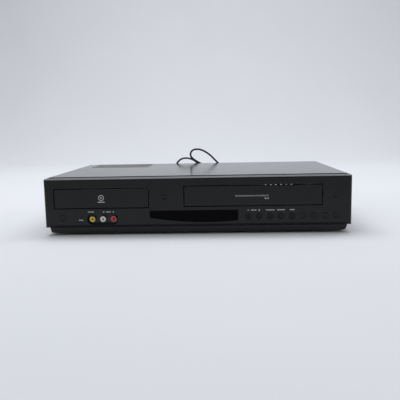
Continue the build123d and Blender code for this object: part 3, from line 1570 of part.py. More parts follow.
def power_board():
    """Board behind the main one: transformer core and winding, two large capacitors and a finned heat sink."""
    zs = (board_z, board_z + board_thickness)
    front = board_split + board_joint
    board = block((board_left, power_right), (front, power_back), zs)
    root = zs[1] - bond
    x, depth = board_left + transformer_inset, front + transformer_back
    for half_x, half_depth, tall in (transformer_core, transformer_winding):
        board += block(about(x, half_x), about(depth, half_depth), (root, zs[1] + tall))
    for inset, back, radius, tall in power_capacitors:
        board += post(board_left + inset, front + back, (root, zs[1] + tall), radius)
    sink_x, sink_front = board_left + sink_inset, front + sink_back
    sink = (root, zs[1] + sink_height)
    for i in range(sink_fins):
        fin_front = sink_front + sink_pitch * i
        board += block(about(sink_x, sink_width / 2), (fin_front, fin_front + sink_fin), sink)
    spine_end = sink_front + sink_pitch * (sink_fins - 1) + sink_fin
    return board + block(about(sink_x, sink_spine / 2), (sink_front, spine_end), sink)


def tuner():
    """Tinned box against the rear panel with two aerial connectors, one above the other."""
    tip = case_depth + connector_reach
    can = block(about(aerial_x, tuner_width / 2), (rear_wall_front - tuner_depth, rear_wall_front),
                (base_top, tuner_top))
    for z in aerial_zs:
        can += pin_back(aerial_x, z, (rear_wall_front - bond, tip), aerial_radius)
        can -= pin_back(aerial_x, z, (rear_wall_front + aerial_floor, tip + edge_overlap), aerial_bore)
    return can


def rear_jacks():
    """Moulded block with three columns of three phono jacks that come out through the rear panel."""
    half_x = 1.5 * rear_jack_pitch_x - 2 * fit_gap
    top = rear_jack_z + 1.5 * rear_jack_pitch_z
    solids = [block(about(rear_jack_x, half_x), (rear_wall_front - rear_jack_block, rear_wall_front),
                    (base_top, top))]
    tip = case_depth + connector_reach - rear_jack_drop
    for x, z in rear_jack_places():
        solids += phono_jack(x, z, (rear_wall_front, tip), 1)
    return solids


def cord_gland():
    """Bush through the rear panel with a tapered, ringed strain relief behind it."""
    face = rear_wall_front + rear_sheet
    back = face + gland_flange
    bush = pin_back(gland_x, gland_z, (rear_wall_front - gland_tail, rear_wall_front), gland_radius + gland_lip)
    bush += pin_back(gland_x, gland_z, (rear_wall_front - bond, face), gland_radius - shaft_gap)
    bush += pin_back(gland_x, gland_z, (face, back), gland_radius + gland_lip)
    root = gland_radius - bond
    bush += pin_back(gland_x, gland_z, (back, back + relief_length), root, relief_radius)
    for i in range(relief_rings):
        start = relief_first + relief_pitch * i
        radius = root + (relief_radius - root) * start / relief_length + relief_ring
        bush += pin_back(gland_x, gland_z, (back + start, back + start + relief_pitch / 2), radius)
    return bush


# ---- Mains lead ------------------------------------------------------------------------------------------
def corner_radii(points):
    """Largest tangent arc at each corner: a share of its shorter run over the tangent of half the turn."""
    radii = []
    for before, corner, after in zip(points, points[1:], points[2:]):
        turn = radians((corner - before).get_angle(after - corner))
        radii.append(arc_share * min((corner - before).length, (after - corner).length) / tan(turn / 2))
    return radii


def lead_tube(route):
    """The lead's round sheath along a route of straight runs and tangent arcs."""
    points = [Vector(x, at_depth(depth), z) for x, depth, z in route]
    radii = corner_radii(points)
    path = FilletPolyline(*points, radius=radii) if radii else Line(*points)
    section = Plane(points[0], z_dir=points[1] - points[0]) * Circle(cord_radius)
    tube = sweep(section, path=path)
    print(f"lead: {path.length:.0f} mm, volume over section times length"
          f" {tube.volume / (pi * cord_radius ** 2 * path.length):.4f}, radii {[round(r, 1) for r in radii]}")
    return tube


def mains_lead():
    """The lead from its strain relief to the coil, and the tail from the coil to the plug."""
    return [lead_tube(lead_route), lead_tube((tail_start, (plug_x, plug_depth, plug_z)))]


def lead_coil():
    """Outer shape of the tied coil: a flat ring."""
    bottom = cord_floor - cord_radius
    zs = (bottom, bottom + coil_height)
    ring = post(coil_x, coil_depth, zs, coil_radius + coil_across / 2)
    return ring - post(coil_x, coil_depth, past(zs), coil_radius - coil_across / 2)


def mains_plug():
    """Moulded two-blade plug lying beside the coil."""
    body = Box(plug_length, plug_width, plug_height)
    body = Pos(plug_x + plug_length / 2, at_depth(plug_depth), plug_z) * body
    body = fillet(body.edges().filter_by(Axis.X), plug_round)
    body = chamfer(body.faces().sort_by(Axis.X)[0].edges(), plug_bevel)
    tip = plug_x + plug_length
    for side in SIDES:
        blade_depth = plug_depth + side * blade_gap / 2
        body += block((tip - bond, tip + blade_length), about(blade_depth, blade_thickness / 2),
                      about(plug_z, blade_height / 2))
    return body


def main():
    os.makedirs("parts", exist_ok=True)
    single = (top_cover, front_panel, display_window, chassis, rear_panel, front_board, display_tube,
              front_jack_block, main_board, power_board, tuner, cord_gland, loader_frame, clamper_bridge,
              loader_motor, tray_belt, deck_chassis, lower_drum, disc_tray, tray_door, tray_gear, pulley_gear,
              motor_pulley, traverse, spindle_motor, turntable, pickup, clamper, cassette_door,
              cassette_carrier, carrier_sliders, head_drum, capstan, pinch_arm, pinch_roller, lead_coil,
              mains_plug)
    groups = (feet, case_screws, front_jacks, rear_jacks, tape_heads, carrier_guides, mains_lead)
    for make in single:
        save(make(), make.__name__)
    for make in groups:
        save(Compound(children=make()), make.__name__)
    for node, (x, z, radius) in button_places().items():
        save(button(x, z, radius), node)
    for side, reel_name, carriage_name in ((-1, "supply_reel", "left_guide_carriage"),
                                           (1, "take_up_reel", "right_guide_carriage")):
        save(reel(side), reel_name)
        save(guide_carriage(side), carriage_name)


main()
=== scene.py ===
"""Disc and tape player, full width, standing on pale paper.

Metres; +X to the right seen from the front, front towards -Y. Sections follow the player as it is put together: the
mains lead and the casing, the front, the back, the boards, the disc loader, the tape deck and last the printing.
"""
import bmesh
import bpy
import numpy as np
from mathutils import Matrix, Vector


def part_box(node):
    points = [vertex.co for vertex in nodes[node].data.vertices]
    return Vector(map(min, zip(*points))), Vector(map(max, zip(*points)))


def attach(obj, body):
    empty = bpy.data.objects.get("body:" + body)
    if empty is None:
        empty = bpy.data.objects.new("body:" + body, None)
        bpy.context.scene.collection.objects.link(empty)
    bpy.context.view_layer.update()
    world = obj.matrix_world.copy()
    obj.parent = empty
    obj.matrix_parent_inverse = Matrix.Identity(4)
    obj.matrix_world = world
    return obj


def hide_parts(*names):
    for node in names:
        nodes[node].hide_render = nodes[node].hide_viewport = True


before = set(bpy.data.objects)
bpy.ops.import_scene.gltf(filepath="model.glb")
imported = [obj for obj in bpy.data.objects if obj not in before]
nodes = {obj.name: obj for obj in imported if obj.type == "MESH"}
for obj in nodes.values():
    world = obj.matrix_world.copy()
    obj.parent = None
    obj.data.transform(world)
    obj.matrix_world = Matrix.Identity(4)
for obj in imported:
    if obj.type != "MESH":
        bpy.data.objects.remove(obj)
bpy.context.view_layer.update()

mm = 0.001


# ---- View, paper and light ------------------------------------------------------------------------------------------
# The photograph's standpoint: a normal lens 0.73 m before the panel, a little above the cover, looking down 8 degrees
# and turned slightly to the left. A paper sweep lies under and behind, lit by the room and by three soft boxes above.
lens, sensor = 47.36, 36.0           # millimetres
eye = (0.03328, -0.86180, 0.15044)
pitch, yaw, roll = np.radians((-7.9887, 2.2351, -1.1069))
turn = Matrix.Rotation(yaw, 4, "Z") @ Matrix.Rotation(np.pi / 2 + pitch, 4, "X") @ Matrix.Rotation(roll, 4, "Z")
camera = bpy.data.objects.new("camera", bpy.data.cameras.new("camera"))
camera.data.lens, camera.data.sensor_width = lens, sensor
camera.data.clip_start = 0.01
camera.matrix_world = Matrix.Translation(eye) @ turn
bpy.context.scene.collection.objects.link(camera)
bpy.context.scene.camera = camera
bpy.context.scene.view_settings.view_transform = "Standard"


def linear(colour):
    """sRGB hex as linear RGBA: c / 12.92 up to 0.04045, ((c + 0.055) / 1.055) to the power 2.4 above it."""
    c = np.array([int(colour[i:i + 2], 16) for i in (0, 2, 4)]) / 255
    return (*np.where(c <= 0.04045, c / 12.92, ((c + 0.055) / 1.055) ** 2.4).tolist(), 1.0)


def add(tree, kind, inputs=None, **settings):
    """Adds a node with its settings; an input is a value, or another node's output to link."""
    node = tree.nodes.new(kind)
    for key, value in settings.items():
        setattr(node, key, value)
    for key, value in (inputs or {}).items():
        if isinstance(value, bpy.types.NodeSocket):
            tree.links.new(value, node.inputs[key])
        else:
            node.inputs[key].default_value = value
    return node


def blend(tree, share, first, second):
    """Colour that goes from the first to the second as share goes from 0 to 1; the node's inputs 6 and 7 are these."""
    return add(tree, "ShaderNodeMix", {"Factor": share, 6: first, 7: second}, data_type="RGBA").outputs[2]


def surface(name, points, closed_u=False, closed_v=False, sharp=40.0):
    """Mesh of a grid of points (rows u, columns v, xyz): a quad joins each four neighbours, and the last row or column
    joins the first where it is closed. Rows that shrink to a point are merged, and faces turn outwards."""
    rows, columns = points.shape[:2]
    u = np.arange(rows if closed_u else rows - 1)
    v = np.arange(columns if closed_v else columns - 1)
    u, v = (a.ravel() for a in np.meshgrid(u, v, indexing="ij"))
    u1, v1 = (u + 1) % rows, (v + 1) % columns
    faces = np.stack([u * columns + v, u * columns + v1, u1 * columns + v1, u1 * columns + v], 1)
    mesh = bpy.data.meshes.new(name)
    mesh.from_pydata(points.reshape(-1, 3).tolist(), [], faces.tolist())
    return piece(name, mesh, sharp)


def piece(name, mesh, sharp=40.0):
    """Object at the origin from a mesh whose doubles are merged and whose faces point outwards."""
    work = bmesh.new()
    work.from_mesh(mesh)
    bmesh.ops.remove_doubles(work, verts=work.verts, dist=2e-6)
    bmesh.ops.dissolve_degenerate(work, edges=work.edges, dist=1e-7)
    bmesh.ops.recalc_face_normals(work, faces=work.faces)
    work.to_mesh(mesh)
    work.free()
    mesh.shade_smooth()
    mesh.set_sharp_from_angle(angle=np.radians(sharp))
    made = bpy.data.objects.new(name, mesh)
    bpy.context.scene.collection.objects.link(made)
    return made


def sweep_profile(front, bend, radius, top, steps=24):
    """Side view of the paper, y and z: flat from front to bend, a quarter circle, then straight up to top."""
    angle = np.linspace(0, np.pi / 2, steps)
    arc = np.stack([bend + radius * np.sin(angle), radius * (1 - np.cos(angle))], 1)
    return np.concatenate([[(front, 0.0)], arc, [(bend + radius, top)]])


paper_half_width = 3.0
profile = sweep_profile(front=-2.6, bend=1.3, radius=0.9, top=3.0)
xs = np.linspace(-paper_half_width, paper_half_width, 3)
grid = np.stack(np.broadcast_arrays(xs[:, None], profile[None, :, 0], profile[None, :, 1]), 2)
paper = surface("paper", grid)
if paper.data.polygons[0].normal.z < 0:
    paper.data.flip_normals()

made = bpy.data.materials.new("matt_paper")  # uncoated white paper: no gloss, faint cloudiness
made.use_nodes = True
tree, shader = made.node_tree, made.node_tree.nodes["Principled BSDF"]
place = add(tree, "ShaderNodeTexCoord").outputs["Object"]
cloud = add(tree, "ShaderNodeTexNoise", {"Vector": place, "Scale": 2.2, "Detail": 2.0})
tree.links.new(blend(tree, cloud.outputs[0], linear("e4e5e6"), linear("ececed")), shader.inputs["Base Color"])
shader.inputs["Roughness"].default_value = 0.95
shader.inputs["Specular IOR Level"].default_value = 0.1
paper.data.materials.append(made)

world = bpy.data.worlds.new("room")
world.use_nodes = True
bpy.context.scene.world = world
world.node_tree.nodes["Background"].inputs["Color"].default_value = linear("dfe3e8")
world.node_tree.nodes["Background"].inputs["Strength"].default_value = 0.52

soft_boxes = {"key_box": ((-0.5, 0.45, 2.0), (0, 0, 0), 1.5, 24.0), "rim_box": ((0.9, 0.6, 2.0), (0, 0, 0), 1.3, 13.0),
              "wall_box": ((0.0, 0.9, 2.6), (0, 2.2, 1.6), 1.6, 3.0)}
for name, (where, towards, side, watts) in soft_boxes.items():
    lamp = bpy.data.objects.new(name, bpy.data.lights.new(name, "AREA"))
    lamp.data.shape, lamp.data.size, lamp.data.energy = "SQUARE", side, watts
    lamp.data.color = linear("f6f8ff")[:3]
    lamp.location = where
    lamp.rotation_euler = (Vector(towards) - lamp.location).to_track_quat("-Z", "Y").to_euler()
    bpy.context.scene.collection.objects.link(lamp)


# ---- Mains lead ------------------------------------------------------------------------------------------------------
# Two-core lead in soft black PVC, 3.4 mm thick, extruded round its cores. It leaves its ringed bush straight back, lies
# along the table, stands up behind the cover in a low and a high bow, and ends in a coil of six turns in a soft tie.
front_y = -136.65
lead_radius = 1.7
lead_route = (
    (-122.0, 288.2, 30.0), (-122.0, 297.0, 30.0), (-120.0, 305.5, 21.0), (-115.0, 309.0, 10.0), (-106.0, 309.0, 3.0),
    (-92.0, 308.0, 2.0), (-77.0, 305.0, 3.5), (-66.0, 301.0, 12.0), (-60.0, 292.0, 33.0), (-57.0, 281.0, 57.0),
    (-50.0, 271.5, 80.0), (-39.0, 269.0, 91.5), (-21.0, 269.0, 91.0), (-6.0, 272.0, 79.5), (3.5, 281.0, 57.0),
    (12.0, 292.0, 32.0), (23.0, 299.0, 10.0), (40.0, 302.0, 2.6), (58.0, 302.0, 2.6), (73.0, 300.0, 11.0),
    (76.0, 293.0, 30.0), (65.0, 284.5, 50.0), (46.0, 277.0, 66.0), (28.0, 271.5, 82.5), (14.0, 270.0, 98.0),
    (-3.0, 269.5, 108.0), (-19.0, 270.0, 107.0), (-23.5, 271.5, 95.0), (-12.0, 274.0, 85.0), (3.0, 279.0, 77.0),
    (17.0, 288.0, 60.0), (30.0, 300.0, 39.0), (43.0, 312.0, 19.0), (57.0, 320.5, 5.0), (76.0, 323.4, 1.9),
    (96.0, 323.4, 1.9),
)
coil_centre = (112.0, 301.0)
coil_middle_radius = 19.0
coil_floor = 1.9
coil_count = 6
climb_start, climb_turns = 2.45, 0.3
turn_points = 20


def coil_turns(pitch_mm):
    """Six turns clockwise from the rear: three going in on the floor, a climb, and three coming out on top of them. A
    turn keeps its radius for three quarters and steps to the next in the last quarter, all at the same place, so that
    neighbours stay one thickness apart."""
    s = np.arange(1, coil_count * turn_points) / turn_points
    whole = np.floor(s)
    step = np.clip((s - whole - 0.75) / 0.25, 0, 1)
    going_in = np.minimum(whole + step, 2)
    coming_out = np.clip(whole - 3 + step, 0, 2)
    radius = coil_middle_radius + pitch_mm * (1 - going_in + coming_out)
    climb = np.clip((s - climb_start) / climb_turns, 0, 1)
    z = coil_floor + pitch_mm * climb
    angle = np.pi / 2 - 2 * np.pi * s
    outside = 1 / np.cos(np.pi / turn_points) ** 0.5
    x = coil_centre[0] + radius * outside * np.cos(angle)
    depth = coil_centre[1] + radius * outside * np.sin(angle)
    return np.stack([x, depth, z], 1)


plug_low, plug_high = (np.array(corner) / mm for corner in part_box("mains_plug"))
plug_depth = (plug_low[1] + plug_high[1]) / 2 - front_y
plug_z = (plug_low[2] + plug_high[2]) / 2
turns = coil_turns(2 * lead_radius + 0.05)
coil_back, coil_top = coil_centre[1] + coil_middle_radius + 2 * lead_radius, turns[-1][2]
tail = [(coil_centre[0] + 3, coil_back, coil_top),
        (plug_low[0] - 12, (plug_depth + coil_back) / 2, coil_top + 0.3),
        (plug_low[0] - 6, plug_depth, plug_z), (plug_low[0] + 2, plug_depth, plug_z)]
points = np.concatenate([lead_route, turns, tail]) + (0, front_y, 0)

curve = bpy.data.curves.new("mains_lead_sheath", "CURVE")
curve.dimensions = "3D"
spline = curve.splines.new("NURBS")
spline.points.add(len(points) - 1)
spline.points.foreach_set("co", np.column_stack([points * mm, np.ones(len(points))]).ravel())
spline.order_u = 3
spline.use_endpoint_u = True
curve.resolution_u = 8
curve.bevel_depth = lead_radius * mm
curve.bevel_resolution = 4
curve.use_fill_caps = True
lead = bpy.data.objects.new("mains_lead_sheath", curve)
bpy.context.scene.collection.objects.link(lead)


def moulded(name, colour, roughness, grain_mm, depth_mm, mottle=0.12, specular=0.5, ior=1.5, metallic=0.0,
            stretch=(1.0, 1.0, 1.0)):
    """Plastic, rubber, paint or plain metal: one colour with a slow mottle some 35 mm wide, and a fine relief of the
    mould's, the rollers' or the spray's grain. depth_mm is how deep it goes, and stretch draws it out."""
    made = bpy.data.materials.new(name)
    made.use_nodes = True
    tree, shader = made.node_tree, made.node_tree.nodes["Principled BSDF"]
    place = add(tree, "ShaderNodeTexCoord").outputs["Object"]
    cloud = add(tree, "ShaderNodeTexNoise", {"Vector": place, "Scale": 28.0, "Detail": 4.0})
    spread = add(tree, "ShaderNodeMapRange", {"Value": cloud.outputs[0], "From Min": 0.3, "From Max": 0.7,
                                              "To Min": 1 - mottle, "To Max": 1 + mottle})
    tint = add(tree, "ShaderNodeVectorMath", {0: linear(colour)[:3], "Scale": spread.outputs[0]}, operation="SCALE")
    gloss = add(tree, "ShaderNodeMapRange", {"Value": cloud.outputs[0], "From Min": 0.3, "From Max": 0.7,
                                             "To Min": roughness * 0.93, "To Max": roughness * 1.07})
    drawn = add(tree, "ShaderNodeMapping", {"Vector": place, "Scale": stretch})
    grain = add(tree, "ShaderNodeTexNoise", {"Vector": drawn.outputs[0], "Scale": 1 / (grain_mm * mm), "Detail": 2.0})
    relief = add(tree, "ShaderNodeBump", {"Height": grain.outputs[0], "Distance": depth_mm * mm, "Strength": 1.0})
    tree.links.new(tint.outputs[0], shader.inputs["Base Color"])
    tree.links.new(gloss.outputs[0], shader.inputs["Roughness"])
    tree.links.new(relief.outputs[0], shader.inputs["Normal"])
    shader.inputs["Metallic"].default_value = metallic
    shader.inputs["Specular IOR Level"].default_value = specular
    shader.inputs["IOR"].default_value = ior
    return made


def paint(material, *names):
    """Gives CAD nodes a material."""
    for name in names:
        for slot in nodes[name].material_slots:
            slot.material = material


def fit(made, material, body, replaced=()):
    """Finishes a new piece: its material, the body it rides on and the CAD nodes it stands for."""
    made.data.materials.append(material)
    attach(made, body)
    if replaced:
        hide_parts(*replaced)
    return made


soft_pvc = moulded("extruded_soft_pvc", "1a1a1b", 0.38, 0.8, 0.008)
fit(lead, soft_pvc, "case", ("mains_lead", "lead_coil"))
paint(soft_pvc, "mains_lead", "lead_coil", "mains_plug", "cord_gland")


def tie_band(steps=40):
    """Band round the bundle of turns at the coil's left: a rounded oblong, cos and sin to the power 0.4, 5 mm wide and
    0.24 mm thick, with a bevelled rim, kept just clear of the table."""
    angle = np.linspace(0, 2 * np.pi, steps, endpoint=False)
    across, up = (np.sign(f) * np.abs(f) ** 0.4 for f in (np.cos(angle), np.sin(angle)))
    half_across, half_up, table_gap = 5.25, 3.45, 0.02
    middle_x, middle_z = coil_centre[0] - coil_middle_radius, coil_floor + lead_radius + 0.03
    section = [(-2.5, 0.0), (-2.35, 0.14), (2.35, 0.14), (2.5, 0.0), (2.35, -0.1), (-2.35, -0.1)]
    rows = []
    for along, out in section:
        x = middle_x + (half_across + out) * across
        z = np.maximum(middle_z + (half_up + out) * up, table_gap)
        rows.append(np.stack([x, np.full(steps, coil_centre[1] + front_y + along), z], 1))
    return np.stack(rows) * mm


tie = fit(surface("coil_tie", tie_band(), closed_u=True, closed_v=True), soft_pvc, "case")


# ---- Mains plug ------------------------------------------------------------------------------------------------------
# Two-blade plug moulded in soft PVC over its contacts, waisted where fingers pull it, with grip ribs and two flat
# blades of nickel-plated brass, each with its round locking hole.
def plug_body(steps=48, rows=60):
    """Rounded oblong, cos and sin to the power 0.55, swept along x. Its half width and half height follow a waist, 1
    less 0.12 times a Gaussian bell, shrink to the lead's neck at the left, swell 0.35 mm at each of three grip ribs and
    draw in a little over the last 3 percent."""
    length, neck_half, rib_height, power = 26.0, 2.4, 0.35, 0.55
    t = np.linspace(0, 1, rows)
    angle = np.linspace(0, 2 * np.pi, steps, endpoint=False)
    neck = np.clip(t / 0.16, 0, 1) ** 0.6
    waist = 1 - 0.12 * np.exp(-((t - 0.42) / 0.2) ** 2)
    shoulder = np.where(t > 0.97, np.sqrt(np.clip(1 - ((t - 0.97) / 0.03) ** 2 * 0.2, 0, 1)), 1)
    ribs = rib_height * np.clip(np.sin((t - 0.25) * np.pi / 0.06), 0, 1) * (t > 0.25) * (t < 0.61)
    half_y, half_z = ((neck_half + size / 2 * 0.985 * waist * neck - neck_half * neck) * shoulder - rib_height + ribs
                      for size in (plug_high - plug_low)[1:])
    x = plug_low[0] + length * t
    y = plug_depth + front_y + half_y[:, None] * np.sign(np.cos(angle)) * np.abs(np.cos(angle)) ** power
    z = plug_z + half_z[:, None] * np.sign(np.sin(angle)) * np.abs(np.sin(angle)) ** power
    body = np.stack(np.broadcast_arrays(x[:, None], y, z), 2)
    ends = [np.broadcast_to((x[i], plug_depth + front_y, plug_z), (1, steps, 3)) for i in (0, -1)]
    return np.concatenate([ends[0], body, ends[1]]) * mm


def blade(middle_y, steps=36):
    """Flat blade with a round hole: a ring of points round the hole and one round the blade's outline, joined on both
    faces; the outline is a rectangle with a tapered tip."""
    start, end, half_z, half_y = plug_low[0] + 25.0, plug_high[0], 3.15, 0.7
    hole_x, hole_r = end - 4.2, 1.5
    taper, bevel = 1.6, 0.12
    angle = np.linspace(0, 2 * np.pi, steps, endpoint=False)
    c, s = np.cos(angle), np.sin(angle)
    to_side = np.where(c > 0, end - hole_x, hole_x - start) / np.maximum(np.abs(c), 1e-6)
    reach = np.minimum(to_side, half_z / np.maximum(np.abs(s), 1e-6))
    out_x, out_z = hole_x + reach * c, reach * s
    out_z = out_z * np.where(out_x > end - taper, 1 - 0.16 * (out_x - end + taper) / taper, 1)
    ring = [(hole_x + hole_r * c, hole_r * s, -half_y), (out_x, out_z, -half_y + bevel),
            (out_x, out_z, half_y - bevel), (hole_x + hole_r * c, hole_r * s, half_y)]
    rows = [np.stack([x, middle_y + np.full(steps, y), plug_z + z], 1) for x, z, y in ring]
    return np.stack(rows) * mm


nickel = moulded("nickel_plate", "c8c4bb", 0.2, 0.5, 0.001, mottle=0.05, metallic=1.0)
plug = fit(surface("plug_body", plug_body(), closed_v=True), soft_pvc, "case", ("mains_plug",))
blade_offset = 6.35
blades = [fit(surface(f"plug_blade_{side}", blade(plug_depth + front_y + offset), closed_u=True, closed_v=True,
                      sharp=30), nickel, "case")
          for side, offset in (("near", -blade_offset), ("far", blade_offset))]


# ---- Steel cover and rear panel --------------------------------------------------------------------------------------
# Folded sheet steel in satin black paint, screwed to the pan. Near grazing it mirrors the paper behind, so from the
# front it looks grey; the sprayed paint keeps a faint orange peel about 1.5 mm wide.
cover_paint = moulded("satin_black_paint_on_steel", "121213", 0.16, 1.5, 0.003, mottle=0.05)
paint(cover_paint, "top_cover", "rear_panel")


# ---- Steel pan -------------------------------------------------------------------------------------------------------
# Galvanised sheet steel, pressed. The zinc froze in flat crystals about 7 mm across, each a slightly different grey.
def galvanised(name, crystal_mm):
    """Hot-dip galvanised sheet: a Voronoi cell for each zinc crystal sets its grey and its gloss."""
    made = moulded(name, "8f9295", 0.36, 0.6, 0.001, mottle=0.06, metallic=1.0)
    tree, shader = made.node_tree, made.node_tree.nodes["Principled BSDF"]
    place = next(n for n in tree.nodes if n.type == "TEX_COORD").outputs["Object"]
    cells = add(tree, "ShaderNodeTexVoronoi", {"Vector": place, "Scale": 1 / (crystal_mm * mm), "Randomness": 1.0})
    grey = add(tree, "ShaderNodeSeparateColor", {"Color": cells.outputs["Color"]})
    shade = blend(tree, grey.outputs[0], linear("7d8083"), linear("a3a6a8"))
    gloss = add(tree, "ShaderNodeMapRange", {"Value": grey.outputs[1], "To Min": 0.28, "To Max": 0.46})
    tree.links.new(shade, shader.inputs["Base Color"])
    tree.links.new(gloss.outputs[0], shader.inputs["Roughness"])
    return made


pan_zinc = galvanised("galvanised_sheet", 7.0)
paint(pan_zinc, "chassis")


# ---- Feet ------------------------------------------------------------------------------------------------------------
# Four round feet of black rubber, moulded with a hollow middle and pushed into the pan. Rubber is matt and greyish.
foot_rubber = moulded("moulded_black_rubber", "1b1b1c", 0.8, 0.5, 0.012, mottle=0.15, specular=0.3)
paint(foot_rubber, "feet")


# ---- Case screws -----------------------------------------------------------------------------------------------------
# Seven pan-head screws of blackened steel with a cross recess: two in each side of the cover and three in its rear lip.
screw_black = moulded("blackened_steel", "242427", 0.35, 0.3, 0.002, metallic=0.6)
head_radius, head_height, cross_depth = 3.15, 1.55, 1.0


def screw_head(centre, outward, steps=48):
    """Domed disc, height times the root of 1 - 0.7 (r/R) squared, with a cross sunk 1.0 mm into it: full depth within
    0.48 mm of an arm's middle line and 1.8 mm of the axis, and none past 0.62 mm and 2.0 mm. outward is the axis's unit
    vector; the back is flat."""
    outward = np.array(outward, float)
    across = np.array([outward[1], -outward[0], 0.0])
    up = np.array([0, 0, 1.0])
    radius = np.concatenate([np.linspace(0, 2.1, 12), np.linspace(2.3, head_radius, 5)])
    angle = np.linspace(0, 2 * np.pi, steps, endpoint=False)
    a, b = radius[:, None] * np.cos(angle), radius[:, None] * np.sin(angle)
    tall = head_height * np.sqrt(1 - 0.7 * (radius[:, None] / head_radius) ** 2)
    arm = np.minimum(np.abs(a), np.abs(b))
    sunk = np.clip((0.62 - arm) / 0.14, 0, 1) * np.clip((2.0 - radius[:, None]) / 0.2, 0, 1)
    tall = tall - cross_depth * sunk
    rows = np.array(centre) + a[..., None] * across + b[..., None] * up + tall[..., None] * outward
    foot = rows[-1] - tall[-1][..., None] * outward
    centre_row = np.broadcast_to(np.array(centre), (1, steps, 3))
    return np.concatenate([rows, foot[None], centre_row]) * mm


cover_side_x, side_screw_z = 213.3, 17.0
cover_depth, lip_screw_z = 265.0, 77.0
screw_places = [((side * cover_side_x, front_y + depth, side_screw_z), (side, 0, 0))
                for side in (-1, 1) for depth in (60.0, 232.0)]
screw_places += [((x, front_y + cover_depth, lip_screw_z), (0, 1, 0)) for x in (-196.0, 0.0, 196.0)]
for number, (centre, outward) in enumerate(screw_places, 1):
    fit(surface(f"screw_head_{number}", screw_head(centre, outward), closed_v=True, sharp=30), screw_black, "case",
        ("case_screws",))


# ---- Front panel and doors -------------------------------------------------------------------------------------------
# Injection-moulded black ABS with a fine spark-eroded grain, too fine to see singly here, so it is drawn at 0.5 mm.
# The tray door is glued to the tray's front, and the cassette door swings on two pins.
front_abs = moulded("grained_black_abs", "080809", 0.2, 0.5, 0.003, mottle=0.06, specular=0.32)
paint(front_abs, "front_panel", "tray_door", "cassette_door")


# ---- Display window and tube -----------------------------------------------------------------------------------------
# Smoked acrylic, polished and almost black. Behind it stands the flat display tube, unlit, in dark greenish glass.
smoked = moulded("polished_smoked_acrylic", "020203", 0.08, 3.0, 0.0003, mottle=0.02, specular=0.05, ior=1.49)
paint(smoked, "display_window")
tube_glass = moulded("display_tube_glass", "14201e", 0.06, 6.0, 0.0002, mottle=0.1)
paint(tube_glass, "display_tube")


# ---- Push buttons ----------------------------------------------------------------------------------------------------
# Round caps of black ABS with a stem to a key switch, dished in the middle. Five are of a deeper black than the panel,
# and the four transport keys, the power key and the two door keys are moulded like it.
deep_abs = moulded("polished_black_abs", "060607", 0.3, 0.8, 0.001, mottle=0.03, specular=0.25)


def turned(name, outline, centre, segments=40, facing=-1):
    """Solid of revolution about the line through centre along y: outline is radius and depth pairs in millimetres, from
    one pole to the other or round a closed ring. Depth counts from the mouth, which faces the front (-1) or rear."""
    outline = np.array(outline, float)
    angle = np.linspace(0, 2 * np.pi, segments, endpoint=False)
    radius, along = outline[:, 0, None], outline[:, 1, None]
    x = centre[0] + radius * np.cos(angle)
    y = centre[1] - facing * along
    z = centre[2] + radius * np.sin(angle)
    ring = bool(np.all(outline[:, 0] > 0))
    return surface(name, np.stack(np.broadcast_arrays(x, y, z), 2) * mm, closed_u=ring, closed_v=True)


dish = 0.12              # depth of a cap's middle below its rim
cap_proud = 0.7          # how far the rim stands before the panel
dark_keys = ("channel_down_button", "channel_up_button", "source_button", "copy_button", "record_button")
for name in [name for name in nodes if name.endswith("_button")]:
    low, high = (np.array(corner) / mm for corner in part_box(name))
    length = high[1] - low[1]
    lip, stem = (high[0] - low[0]) / 2, 1.5
    cap = lip - 1.0
    rim = 0.72 * cap
    outline = [(0, dish), (rim, dish), (rim + 0.35, 0.05), (rim + 0.6, 0), (cap - 0.4, 0), (cap - 0.12, 0.08),
               (cap, 0.4), (cap, 4.0), (lip, 4.0), (lip, 5.0), (stem, 5.0), (stem, length), (0, length)]
    made = turned(name.replace("button", "cap"), outline, ((low[0] + high[0]) / 2, low[1], (low[2] + high[2]) / 2), 48)
    fit(made, deep_abs if name in dark_keys else front_abs, name, (name,))


# ---- Phono jacks -----------------------------------------------------------------------------------------------------
# Coloured insulators of moulded nylon in rolled nickel-plated collars, each round a contact tube: yellow for the
# picture, white and red for the sound, green, blue and red for the component picture.
insulators = {"yellow": "e6c21c", "white": "ebe8df", "red": "bf1a2a", "green": "2f8a3c", "blue": "2250a8"}
nylon = {name: moulded(f"{name}_nylon", colour, 0.38, 1.0, 0.002, mottle=0.03) for name, colour in insulators.items()}


def phono_jack(name, colour, centre, depth, facing):
    """Collar, insulator and contact tube of one jack, its mouth at centre; depth is how long it is."""
    floor = depth - 1
    contact_end = depth - 1.1
    insulator = [(3.8, depth), (3.8, 0.5), (3.65, 0.35), (2.0, 0.35), (1.75, 0.6), (1.75, floor), (0, floor),
                 (0, depth)]
    rolled = [(4.14, depth), (4.14, 0.15), (4.04, 0.02), (3.92, 0.02), (3.82, 0.15), (3.82, depth)]
    tube = [(1.73, contact_end), (1.73, 2.9), (1.66, 2.8), (1.45, 2.9), (1.45, contact_end)]
    face = turned(f"{name}_insulator", insulator, centre, facing=facing)
    collar = turned(f"{name}_collar", rolled, centre, facing=facing)
    contact = turned(f"{name}_contact", tube, centre, segments=24, facing=facing)
    for metal in (collar, contact):
        fit(metal, nickel, "case")
    return fit(face, nylon[colour], "case")


jack_setback, jack_z, jack_length = 0.4, 23.1, 7.6
for colour, x in zip(("yellow", "white", "red"), (-147.4, -132.4, -117.4)):
    jack = phono_jack(f"front_{colour}", colour, (x, front_y + jack_setback, jack_z), jack_length, -1)
    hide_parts("front_jacks")

jack_moulding = moulded("moulded_black_nylon", "141416", 0.4, 0.7, 0.006)
paint(jack_moulding, "front_jack_block")


